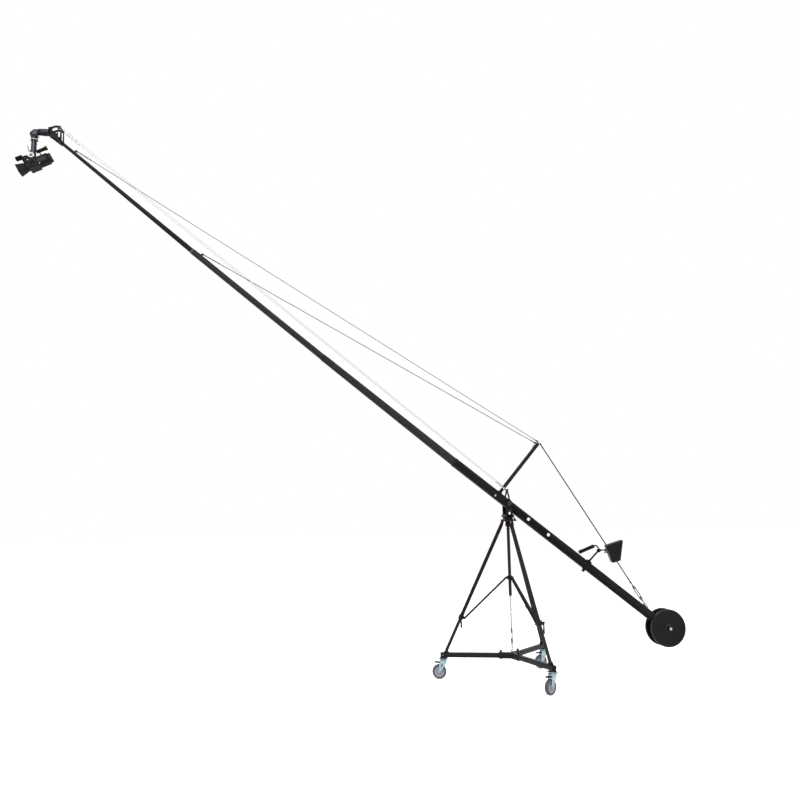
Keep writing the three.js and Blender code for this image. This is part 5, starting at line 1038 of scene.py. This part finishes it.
def makeWeights():
    s, rim, start, thick = weightSizes, weightSizes["rim"], weightSizes["start"], weightSizes["thick"]
    weightFrame = armFrame @ place(s["at"])
    length = 2 * s["axleHalf"]
    bm = bmesh.new()
    addTurned(bm, [(s["axle"] - 2, 0), (s["axle"], 1.5), (s["axle"], length - 1.6), (s["axle"] - 2, length)],
              (0, -s["axleHalf"], 0), (0, s["axleHalf"], 0), 32)
    mirrored(addSoftRod, bm, [(0, 0)], start - 3.3, start - 0.3, 22, 0.6, 40)
    piece(bm, "weightAxle", "arm", "steel", weightFrame, "weight_axle")
    rows = [(s["bore"], 0), (33, 0), (35, 1), (37, 3.2), (39, 3.6), (150, 3.6), (153, 3), (155.5, 0.4),
            (157, 0), (rim - 3.4, 0), (rim - 0.9, 1), (rim, 3.4)]
    profile = rows + [(radius, thick - distance) for radius, distance in rows[::-1]]
    for side, name in ((-1, "near"), (1, "far")):
        bm = bmesh.new()
        addRing(bm, profile, (0, side * start, 0), (0, side * (start + thick), 0), 96)
        piece(bm, f"{name}Weight", f"weight_{name}", "weightBlack", weightFrame,
              f"weight_plate_{name}", sharp=40)
        bm = bmesh.new()
        loops = []
        for radius, distance in knobProfile:
            angles = [fullTurn * k / s["knobSides"] for k in range(s["knobSides"])]
            swells = [radius * (1 - 0.14 * max(0.0, math.cos(s["knobLobes"] * a)) ** 2 if radius > 20 else 1)
                      for a in angles]
            loops.append([Vector((swell * math.cos(a), side * (start + thick + 0.3 + distance),
                                  swell * math.sin(a)))
                          for swell, a in zip(swells, angles)])
        addLoops(bm, loops, closed=True)
        piece(bm, f"{name}Knob", f"knob_{name}", "plastic", weightFrame,
              f"weight_knob_{name}")


makeWeights()
print("weights made")


# steering grip and monitor
bandSizes = {"x": 920, "half": 43.3, "inner": 39.3, "width": 30, "strut": 8,
             "strutPath": [(920, 0, 45), (923, 0, 80), (930, 0, 130), (938, 0, 172)]}
gripSizes = {"low": (797, 0, 56), "high": (878, 0, 188), "radius": 16.5, "waist": 0.9, "bar": 6}


def makeControls():
    s = bandSizes
    x, width = s["x"], s["width"]
    headX, _, headZ = layout["controlBolt"]
    outer, inner = s["half"] * octagonCorner, s["inner"] * octagonCorner
    bm = bmesh.new()
    addRing(bm, [(inner, 0), (outer - 0.8, 0), (outer, 0.8), (outer, width - 0.8), (outer - 0.8, width),
                 (inner, width)], (x - width / 2, 0, 0), (x + width / 2, 0, 0), 8)
    addBox(bm, (x - 23, -17, 41.3), (x + 23, 17, 49.3))
    for boltX in (x - 17, x + 17):
        for y in (-11, 11):
            addHex(bm, (boltX, y, 49.2), (boltX, y, 53), 4.6)
    addRod(bm, (x, 0, -41), (x, 0, -50), 5, 20)
    addTurned(bm, [(9, 0), (14, 1.5), (15, 4), (15, 12), (13, 15), (9, 16)], (x, 0, -48), (x, 0, -64), 10)
    addSweep(bm, smoothPath(s["strutPath"]), s["strut"], 24)
    addTurned(bm, [(9, 0), (11, 1), (11, 11), (9, 12)], (x, 0, 49), (x, 0, 61), 28)
    bothSides(bm, [belt([(headX, headZ, 15), (headX, headZ - 8, 13)])], 6.3, 13, 1.2)
    addSoftRod(bm, (headX, -13, headZ - 14), (headX, 13, headZ - 14), 9, 1, 24)
    addRod(bm, (headX, -25, headZ), (headX, 12.7, headZ), 4, 20)
    addHex(bm, (headX, 12.6, headZ), (headX, 13, headZ), 7)
    piece(bm, "controlBracket", "arm", "fittingBlack", armFrame, "control_bracket",
          bevel=0.6)

    s, radius = gripSizes, gripSizes["radius"]
    low, high = Vector(s["low"]), Vector(s["high"])
    direction, length = (high - low).normalized(), (high - low).length
    waist = [(radius - s["waist"] * math.sin(math.pi * k / 16),
              8 + (length - 16) * k / 16) for k in range(17)]
    bm = bmesh.new()
    addTurned(bm, [(8, 0), (13, 0.4), (radius - 1.1, 2), (radius, 5)] + waist
              + [(radius, length - 5), (radius - 1.1, length - 2), (13, length - 0.4), (6.4, length)], low,
              high, 40)
    piece(bm, "gripFoam", "grip", "foam", armFrame, sharp=60)
    bm = bmesh.new()
    addSweep(bm, smoothPath([high - direction * 8, high + direction * 3,
                             high + direction * 16 + Vector((8, 0, 3)), (headX - 18, 0, headZ + 13),
                             (headX - 7, 0, headZ + 1)]), s["bar"], 20)
    addSoftRod(bm, (headX, -6, headZ), (headX, 6, headZ), 10, 0.8, 28)
    addSoftRod(bm, low - direction * 0.2, low + direction * 2, 8, 0.6, 24)
    piece(bm, "gripBar", "grip", "fittingBlack", armFrame, "control_grip")


monitorSizes = {"back": 14, "depth": 24, "width": 180, "low": -116, "high": 42, "hoodTop": 155,
                "hoodBottom": 72, "hoodWall": 2.6, "buttons": 5, "ribs": 7,
                "armPath": [(6, -19.3, 0), (12, -26, 1), (16, -55, 3), (20, -96, 4)]}


def makeMonitor():
    s = monitorSizes
    boltX, boltY, _ = layout["monitorBolt"]
    bm = bmesh.new()
    addTurned(bm, [(9, 0), (12, 0.8), (12, 11.2), (9, 12)], (0, -13.3, 0), (0, -25.3, 0), 28)
    addSweep(bm, smoothPath(s["armPath"]), 6, 20)
    addTurned(bm, [(8, 0), (10, 1), (10, 15), (8, 16)], (boltX, boltY, -4), (boltX, boltY, 12), 28)
    addRod(bm, (boltX, boltY, -20), (boltX, boltY, 4), 4, 20)
    piece(bm, "monitorArm", "monitor_arm", "fittingBlack", levelFrame, "monitor_arm")

    back, half, low, high = s["back"], s["width"] / 2, s["low"], s["high"]
    front = back + s["depth"]
    # the housing, with ribs and a plate behind
    bm = bmesh.new()
    addPlate(bm, [belt([(back + 7, low + 7, 7), (front - 2, low + 2, 2), (front - 2, high - 2, 2),
                        (back + 7, high - 7, 7)])], -half, half, edge=5)
    for k in range(s["ribs"]):
        addBox(bm, (back - 0.8, -44, 11 * k - 70), (back + 1.5, 44, 11 * k - 66))
    addBox(bm, (back - 1.6, -24, 2), (back + 2, 24, 30))
    piece(bm, "monitorHousing", "monitor", "plastic", monitorFrame, "monitor", bevel=0.8)
    # four hood walls that spread a little, each with the way to its inner face
    near, bottom, top = front - 6, back + s["hoodBottom"], back + s["hoodTop"]
    walls = (
        ([(near, -half, low), (near, half, low), (bottom, half, low), (bottom, -half, low)], (0, 0, 1)),
        ([(near, half, high), (near, -half, high), (top, -half, high), (top, half, high)], (0, 0, -1)),
        ([(near, -half, high), (near, -half, low), (bottom, -half, low), (top, -half, high)], (0, 1, 0)),
        ([(near, half, low), (near, half, high), (top, half, high), (bottom, half, low)], (0, -1, 0)),
    )
    bm = bmesh.new()
    for corners, inward in walls:
        corners = [Vector(p) for p in corners]
        addLoops(bm, [corners, [p + Vector(inward) * s["hoodWall"] for p in corners]])
    piece(bm, "monitorHood", "monitor", "rubber", monitorFrame, bevel=0.7)
    bm = bmesh.new()
    addPlate(bm, [[(12 - half, low + 14), (half - 12, low + 14), (half - 12, high - 12),
                   (12 - half, high - 12)]],
             front - 0.4, front + 0.8, along="x", edge=0.2)
    piece(bm, "monitorScreen", "monitor", "screen", monitorFrame)
    bm = bmesh.new()
    for k in range(s["buttons"]):
        y = 16 * k - 32
        addSoftRod(bm, (front - 0.5, y, low + 7), (front + 1.6, y, low + 7), 2.6, 0.5, 16)
    piece(bm, "monitorButtons", "monitor", "cameraGrey", monitorFrame)
    bm = bmesh.new()
    addSoftRod(bm, (0, 0, -10), (0, 0, -20.3), 10, 0.8, 28)
    addBox(bm, (0, -8, -19.8), (20, 8, -10.5))
    piece(bm, "monitorLug", "monitor", "fittingBlack",
          monitorFrame @ turn(-layout["monitorTilt"], 'Y'), bevel=0.5)


makeControls()
makeMonitor()
print("controls made")


# levelling cables: y of both ends, the eyes' holes and the turnbuckles' places from the ends
cableSizes = {"rearY": 24, "frontY": 42, "radius": 1.5, "rearHole": 5.6, "frontHole": 6.1, "eye": 10,
              "rearScrew": 92, "frontScrews": (160, 78)}


def makeLevelCables():
    s = cableSizes
    run = tipFrame.translation - yokeFrame.translation
    chord = run.length
    cableFrame = (yokeFrame @ place(0, 0, layout["linkRise"])
                  @ turn(math.degrees(math.atan2(run.z, -run.x)), 'Y'))
    for side, name in ((-1, "near"), (1, "far")):
        start, end = Vector((0, side * s["rearY"], 0)), Vector((-chord, side * s["frontY"], 0))
        ways = [start.lerp(end, distance / chord) for distance in (12, chord - 12, 9, 34, chord - 9,
                                                                   chord - 34)]
        bm = bmesh.new()
        addRod(bm, ways[0], ways[1], s["radius"], 12)
        piece(bm, f"{name}LevelWire", "level_cables", "wire", cableFrame,
              f"level_cable_{name}")
        bm = bmesh.new()
        for point, hole in ((start, s["rearHole"]), (end, s["frontHole"])):
            addPlate(bm, [circle(point.x, 0, s["eye"], 28), circle(point.x, 0, hole)],
                     point.y - 2.5, point.y + 2.5, edge=0.7)
        addRod(bm, ways[2], ways[3], 3, 16)
        addRod(bm, ways[4], ways[5], 3, 16)
        for at in (s["rearScrew"], chord - s["frontScrews"][0], chord - s["frontScrews"][1]):
            addScrew(bm, start, end, at)
        piece(bm, f"{name}LevelEnds", "level_cables", "steel", cableFrame, bevel=0.2)


makeLevelCables()
print("levelling cables made")


# tip bracket and remote head, in the tip's frame
bracketSizes = {"inside": 33, "outside": 39, "pivot": 8, "pivotHalf": 47, "bolt": 5, "boltHalf": 49.8,
                "outline": [(0, 0, 16), (0, 125, 9), (-36, 131, 10.6), (-92, 108, 12), (-92, 66, 12)],
                "slot": [(-4, 32, 5), (-4, 104, 5), (-13, 104, 5), (-13, 42, 5)],
                "window": [(-30, 72, 5), (-30, 114, 5), (-42, 116, 5), (-64, 104, 5), (-64, 76, 5)]}


def makeTipBracket():
    s, outside, rise = bracketSizes, bracketSizes["outside"], layout["linkRise"]
    bm = bmesh.new()
    bothSides(bm, [belt(s["outline"]), belt(s["slot"]), belt(s["window"]), circle(-92, 87, 4, 16)],
              s["inside"], outside, 0.9)
    addBox(bm, (-104, -outside, 54), (-84, outside, 120))
    addRod(bm, (0, -s["pivotHalf"], 0), (0, s["pivotHalf"], 0), s["pivot"], 28)
    addRod(bm, (0, -s["boltHalf"], rise), (0, s["boltHalf"], rise), s["bolt"], 20)
    mirrored(addSoftRod, bm, [(0, 0)], outside, outside + 1.5, 14.5, 0.4, 32)
    mirrored(addHex, bm, [(0, 0)], outside + 1.3, s["pivotHalf"], 12.8)
    mirrored(addHex, bm, [(0, rise)], s["boltHalf"] - 4.9, s["boltHalf"], 9)
    mirrored(addHex, bm, ((-92, 70), (-92, 104)), outside, outside + 3.4, 6)
    piece(bm, "tipBracket", "tip", "fittingBlack", tipFrame, "tip_bracket", bevel=0.6)


headSizes = {"rearFace": -104.3, "barrelEnd": -194, "barrelZ": 85, "barrel": 31.5, "bearing": 32, "post": 25,
             "housing": 20, "housingHalf": 47, "axle": 8, "axleHalf": 58.6, "screws": 6, "coverIn": 27.6,
             "elbow": [(-202, 92, 8), (-224, 88, 12), (-250, 62, 12), (-254, 48, 8), (-202, 48, 8)],
             "cover": [(-206, 88, 5), (-222, 85, 9), (-246, 61, 9), (-250, 51, 5), (-206, 51, 5)],
             "coverScrews": ((-208, 86), (-224, 83), (-248, 53), (-208, 53)),
             "lever": [(-28, -104), (-37, -103), (-41, -92), (-46, -72), (-52, -52)]}


def makeHead():
    s = headSizes
    x, _, tiltZ = layout["tiltAxis"]
    barrel, z, bearing = s["barrel"], s["barrelZ"], s["bearing"]
    bm = bmesh.new()
    addTurned(bm, [(27, 0), (barrel, 1.5), (barrel, 16), (30.4, 17), (30.4, 19), (barrel, 20), (barrel, 52),
                   (30.6, 53), (30.2, 56), (29, 88), (27, 93)],
              (s["rearFace"], 0, z), (s["barrelEnd"] - 4, 0, z), 64)
    for k in range(s["screws"]):
        angle = fullTurn * k / s["screws"] + 0.3
        out = Vector((0, 31 * math.cos(angle), 31 * math.sin(angle)))
        base = Vector((-113, 0, z))
        addSoftRod(bm, base + out * 0.96, base + out * 1.03, 3, 0.4, 12)
    addPlate(bm, [belt(s["elbow"])], -28, 28, edge=5)
    addTurned(bm, [(28, 0), (bearing, 2), (bearing, 14), (31, 15), (31, 17), (bearing, 18), (bearing, 36),
                   (30, 43)],
              (x, 0, -3), (x, 0, 40), 64)
    piece(bm, "headArm", "tip", "headBlack", tipFrame, "head_arm", bevel=0.6)
    bm = bmesh.new()
    bothSides(bm, [belt(s["cover"])], s["coverIn"], s["coverIn"] + 3, 0.6)
    mirrored(addSoftRod, bm, s["coverScrews"], s["coverIn"] + 2.8, s["coverIn"] + 3.8, 2.6, 0.3, 12)
    piece(bm, "elbowCovers", "tip", "headBlack", tipFrame)
    # a pale collar where the elbow meets the post; its pale grey is a painted highlight
    bm = bmesh.new()
    addRing(bm, [(28, 0), (32, 0), (33, 1), (33, 6), (32, 7), (28, 7)], (x, 0, 2), (x, 0, 9), 64)
    piece(bm, "paleCollarHighlight", "tip", "paleGrey", tipFrame)

    post, housing = s["post"], s["housing"]
    bm = bmesh.new()
    addTurned(bm, [(22, 0), (post, 1.5), (post, 24), (24, 25), (24, 27), (post, 28), (post, 112), (24, 113),
                   (24, 115), (post, 116), (post, 138), (22, 140.7)], (x, 0, -144), (x, 0, -3.3), 56)
    addRod(bm, (x, 0, -12), (x, 0, 26.4), 12, 32)
    addTurned(bm, [(17, 0), (housing, 2), (housing, 92), (17, 94)],
              (x, -s["housingHalf"], tiltZ), (x, s["housingHalf"], tiltZ), 48)
    addRod(bm, (x, -s["axleHalf"], tiltZ), (x, s["axleHalf"], tiltZ), s["axle"], 32)
    mirrored(addSoftRod, bm, [(x, tiltZ)], 52.8, 57.2, 13.2, 0.6, 32)
    piece(bm, "headPost", "head_post", "headBlue", tipFrame, "head_post", sharp=30)
    bm = bmesh.new()
    for side in (-1, 1):
        addRing(bm, [(13.5, 0), (22.5, 0), (24.5, 1), (24.5, 5), (23, 6), (17, 6), (15.5, 4.6), (13.5, 4.6)],
                (x, side * 52.6, tiltZ), (x, side * s["axleHalf"], tiltZ), 56)
    piece(bm, "tiltRings", "head_post", "paleGrey", tipFrame, sharp=35)
    # the small brake lever beside the post
    bm = bmesh.new()
    addSoftRod(bm, (x - 20, -8, -104), (x - 32, -8, -104), 6, 0.8, 20)
    addSweep(bm, smoothPath([(x + dx, -8, leverZ) for dx, leverZ in s["lever"]]), 2.8, 12)
    piece(bm, "headLever", "head_post", "fittingBlack", tipFrame)


makeTipBracket()
makeHead()
print("head made")


# camera, in the frame of its tilt axis
cameraSizes = {"middle": -60, "low": -99.7, "high": -22, "half": 44, "rear": 121, "front": -56,
               "lensEnd": -96, "lens": 33, "cradleIn": 47.3, "cradleOut": 52.3, "grooves": 96}


def makeCradle():
    s = cameraSizes
    bm = bmesh.new()
    bothSides(bm, [belt([(0, 0, 22), (-64, -99, 6), (16, -99, 6)]), circle(0, 0, 8.5, 28),
                   belt([(-18, -60, 7), (-32, -82, 5), (0, -82, 5)])], s["cradleIn"], s["cradleOut"], 0.8)
    addBox(bm, (-70, -s["cradleOut"], -105), (22, s["cradleOut"], -100))
    for x in (-50, -10):
        addHex(bm, (x, 0, -105), (x, 0, -104.9), 5)
    piece(bm, "cameraCradle", "camera", "fittingBlack", cameraFrame, "camera_cradle",
          bevel=0.6)


def makeShell():
    s = cameraSizes
    mid, low, high, half, rear, front = (s[k] for k in ("middle", "low", "high", "half", "rear", "front"))
    section = belt([(half - 10, low + 6, 6), (half - 12, high - 12, 12), (12 - half, high - 12, 12),
                    (10 - half, low + 6, 6)])
    bm = bmesh.new()
    addLoops(bm, [[Vector((x, y * scale, mid + (z - mid) * scale)) for y, z in section]
                  for x, scale in ((front, 0.94), (front + 3, 1.0), (rear - 8, 1.0), (rear, 0.93))])
    addBox(bm, (rear - 1, -33, low + 10), (rear + 24, 33, high - 10))
    # lens barrel and its mount block
    lens = s["lens"]
    addTurned(bm, [(38, 0), (38, 4), (lens + 1, 6), (lens, 12), (lens, 40)], (front + 6, 0, mid),
              (s["lensEnd"], 0, mid), 64)
    mount = belt([(29, mid - 23, 6), (29, mid + 23, 6), (-29, mid + 23, 6), (-29, mid - 23, 6)])
    addPlate(bm, [mount], s["lensEnd"] - 0.2, front + 2, along="x", edge=2)
    # handle post, handle, microphone and the finder's bracket
    grip = belt([(-84, -26, 6), (-50, -48, 6), (-36, high - 8, 8), (-30, -12, 8), (-44, 20, 8), (-84, 22, 8)])
    addPlate(bm, [grip], -38, 8, edge=4)
    addPlate(bm, [belt([(-38, 14, 8), (-130, 40, 8), (-130, 22, 8)])], -36, -10, edge=5)
    addTurned(bm, [(14, 0), (19, 4), (19, 56), (16, 61)], (-76, -23, 33), (-137.5, -23, 33), 40)
    addRod(bm, (72, -35, -30), (72, -35, 5), 5, 20)
    addSoftRod(bm, (72, -35, 0), (72, -80.5, 0), 3.5, 0.4, 20)
    piece(bm, "cameraShell", "camera", "camera", cameraFrame, "camera_body", bevel=0.6,
          sharp=35)
    # zoom and focus rings, with grooves
    count = s["grooves"]
    bm = bmesh.new()
    for x, radius in ((-64, 35.4), (-80, 35.0)):
        loops = []
        for distance, size in ((0, radius - 1), (1, radius), (9, radius), (10, radius - 1)):
            loop = []
            for k in range(count):
                reach = size - (0.7 if k % 3 == 0 else 0)
                loop.append(Vector((x - distance, reach * math.cos(fullTurn * k / count),
                                    mid + reach * math.sin(fullTurn * k / count))))
            loops.append(loop)
        addLoops(bm, loops)
    piece(bm, "lensRings", "camera", "rubber", cameraFrame, sharp=30)
    bm = bmesh.new()
    panel = [(8, low + 14), (96, low + 14), (96, high - 20), (8, high - 20)]
    bothSides(bm, [panel], half - 0.6, half + 0.8, 0.4)
    mirrored(addSoftRod, bm, [(18 + 15 * k, high - 26) for k in range(5)], half + 0.6, half + 1.8, 3, 0.4, 16)
    mirrored(addSoftRod, bm, [(24 + 24 * k, low + 26) for k in range(3)], half + 0.6, half + 1.6, 5, 0.4, 20)
    piece(bm, "cameraPanels", "camera", "cameraGrey", cameraFrame)
    # two bright controls on the near side, whose light grey also paints highlights on the camera's side
    bm = bmesh.new()
    addSoftRod(bm, (-48, -37.6, -20), (-48, -39.4, -20), 6.5, 0.5, 24)
    addSoftRod(bm, (30, -43.6, -92), (30, -45.4, -92), 5.5, 0.5, 24)
    piece(bm, "cameraControlGlints", "camera", "greySteel", cameraFrame)
    bm = bmesh.new()
    addTurned(bm, [(24, 0), (22, 1.5), (12, 3), (0.5, 3.6)], (s["lensEnd"] - 1.2, 0, mid),
              (s["lensEnd"] - 6, 0, mid), 48)
    piece(bm, "frontLens", "camera", "lens", cameraFrame, sharp=60)


hoodSizes = {"rear": -96.4, "front": -163, "share": 0.76, "halfWidth": 50, "halfHeight": 41, "corner": 6,
             "wall": 3, "throat": 0.66}


def hoodLoop(x, share, inset):
    # the hood's outline at one x, with its walls' thickness taken off by the inset
    s, mid = hoodSizes, cameraSizes["middle"]
    w, h, corner = s["halfWidth"] * share, s["halfHeight"] * share, s["corner"]
    outline = belt([(side * (w - corner), rise * (h - corner), corner - inset)
                    for side, rise in ((1, -1), (1, 1), (-1, 1), (-1, -1))], step=22.5)
    return [Vector((x, y, mid + z)) for y, z in outline]


def makeHood():
    s, mid = hoodSizes, cameraSizes["middle"]
    back = hoodLoop(s["rear"] - 4, s["share"], s["wall"])
    throat = [Vector((s["rear"], p.y * s["throat"], mid + (p.z - mid) * s["throat"])) for p in back]
    bm = bmesh.new()
    addLoops(bm, [throat, hoodLoop(s["rear"], s["share"], 0), hoodLoop(s["front"], 1.0, 0),
                  hoodLoop(s["front"], 1.0, s["wall"]), back, [p - Vector((4, 0, 0)) for p in throat]],
             closed=True)
    piece(bm, "lensHood", "camera", "rubber", cameraFrame, "lens_hood", bevel=0.5, sharp=30)


finderSizes = {"y": -62, "front": 52, "split": 126, "rear": 150}


def makeFinder():
    s, y = finderSizes, finderSizes["y"]
    bm = bmesh.new()
    addTurned(bm, [(11, 0), (14, 1.5), (15, 4), (15, 30), (14.2, 31), (14.2, 33), (15, 34), (15, 70),
                   (15.6, 74)],
              (s["front"], y, 0), (s["split"], y, 0), 40)
    piece(bm, "finderTube", "viewfinder", "camera", cameraFrame, "viewfinder", sharp=35)
    bm = bmesh.new()
    addRing(bm, [(15.6, 0), (17, 3), (18.6, 12), (19, 20), (18, 23.4), (15, 24), (12.5, 20), (12, 8),
                 (12, 0)],
            (s["split"], y, 0), (s["rear"], y, 0), 40)
    piece(bm, "eyecup", "viewfinder", "rubber", cameraFrame, sharp=50)


makeCradle()
makeShell()
makeHood()
makeFinder()
print("camera made")


# floor, light and view
stageSizes = {"floorHalf": 60.0, "floorGlow": 0.62, "floorTone": 0.8, "worldLight": 0.5}
lamps = {
    # place, aim, size and power
    "keyLamp": ((-5.5, -6.5, 7.5), (-0.8, 0, 2.0), 4.0, 520),
    "fillLamp": ((5.0, -5.0, 4.5), (0.2, 0, 1.2), 3.5, 260),
    "backLamp": ((-1.0, 6.0, 8.0), (-1.0, 0, 2.2), 4.0, 420),
}
photoCamera = {"position": (-1.966, -6.58, 1.423), "yaw": 8.559, "pitch": 8.985, "roll": -0.7, "lens": 33.276}


def seenDirectly(tree):
    # 1 for rays that show the background itself or its reflection, 0 for those that light the object
    rays = tree.nodes.new('ShaderNodeLightPath').outputs
    seen = mathNode(tree, 'MAXIMUM', rays['Is Camera Ray'], rays['Is Glossy Ray'])
    return mathNode(tree, 'MAXIMUM', seen, rays['Is Transmission Ray'])


def makeFloor():
    bm = bmesh.new()
    half = stageSizes["floorHalf"]
    bm.faces.new([bm.verts.new((x, y, 0)) for x, y in ((-half, -half), (half, -half), (half, half),
                                                       (-half, half))])
    mesh = bpy.data.meshes.new("studioFloor")
    bm.to_mesh(mesh)
    bm.free()
    floor = bpy.data.objects.new("studioFloor", mesh)
    bpy.context.scene.collection.objects.link(floor)
    material = bpy.data.materials.new("studioFloor")
    material.use_nodes = True
    tree = material.node_tree
    shader = tree.nodes['Principled BSDF'].inputs
    shader['Base Color'].default_value = grey(stageSizes["floorTone"])
    shader['Roughness'].default_value = 0.9
    shader['Specular IOR Level'].default_value = 0.0
    shader['Emission Color'].default_value = (1, 1, 1, 1)
    tree.links.new(mathNode(tree, 'MULTIPLY', seenDirectly(tree), stageSizes["floorGlow"]),
                   shader['Emission Strength'])
    mesh.materials.append(material)


def makeWorld():
    light = stageSizes["worldLight"]
    world = bpy.data.worlds.new("studioWorld")
    bpy.context.scene.world = world
    world.use_nodes = True
    tree = world.node_tree
    background = tree.nodes['Background'].inputs
    background['Color'].default_value = (1, 1, 1, 1)
    tree.links.new(mathNode(tree, 'MULTIPLY_ADD', seenDirectly(tree), 1 - light, light),
                   background['Strength'])


def makeLamp(name, position, aim, size, power):
    light = bpy.data.lights.new(name, 'AREA')
    light.size = size
    light.energy = power
    lamp = bpy.data.objects.new(name, light)
    lamp.location = position
    lamp.rotation_euler = (Vector(aim) - Vector(position)).to_track_quat('-Z', 'Y').to_euler()
    bpy.context.scene.collection.objects.link(lamp)


def makeView():
    s = photoCamera
    yaw, pitch, roll = (math.radians(s[k]) for k in ("yaw", "pitch", "roll"))
    ahead = Vector((math.sin(yaw) * math.cos(pitch), math.cos(yaw) * math.cos(pitch), math.sin(pitch)))
    level = Vector((math.cos(yaw), -math.sin(yaw), 0))
    upright = level.cross(ahead)
    right = level * math.cos(roll) + upright * math.sin(roll)
    up = upright * math.cos(roll) - level * math.sin(roll)
    matrix = Matrix((right, up, -ahead)).transposed().to_4x4()
    matrix.translation = Vector(s["position"])
    data = bpy.data.cameras.new("photoCamera")
    data.sensor_width = 36
    data.sensor_fit = 'HORIZONTAL'
    data.lens = s["lens"]
    data.clip_end = 400
    view = bpy.data.objects.new("photoCamera", data)
    view.matrix_world = matrix
    bpy.context.scene.collection.objects.link(view)
    bpy.context.scene.camera = view


makeFloor()
makeWorld()
for name, row in lamps.items():
    makeLamp(name, *row)
makeView()
bpy.context.scene.view_settings.view_transform = 'Standard'

print("stage made")
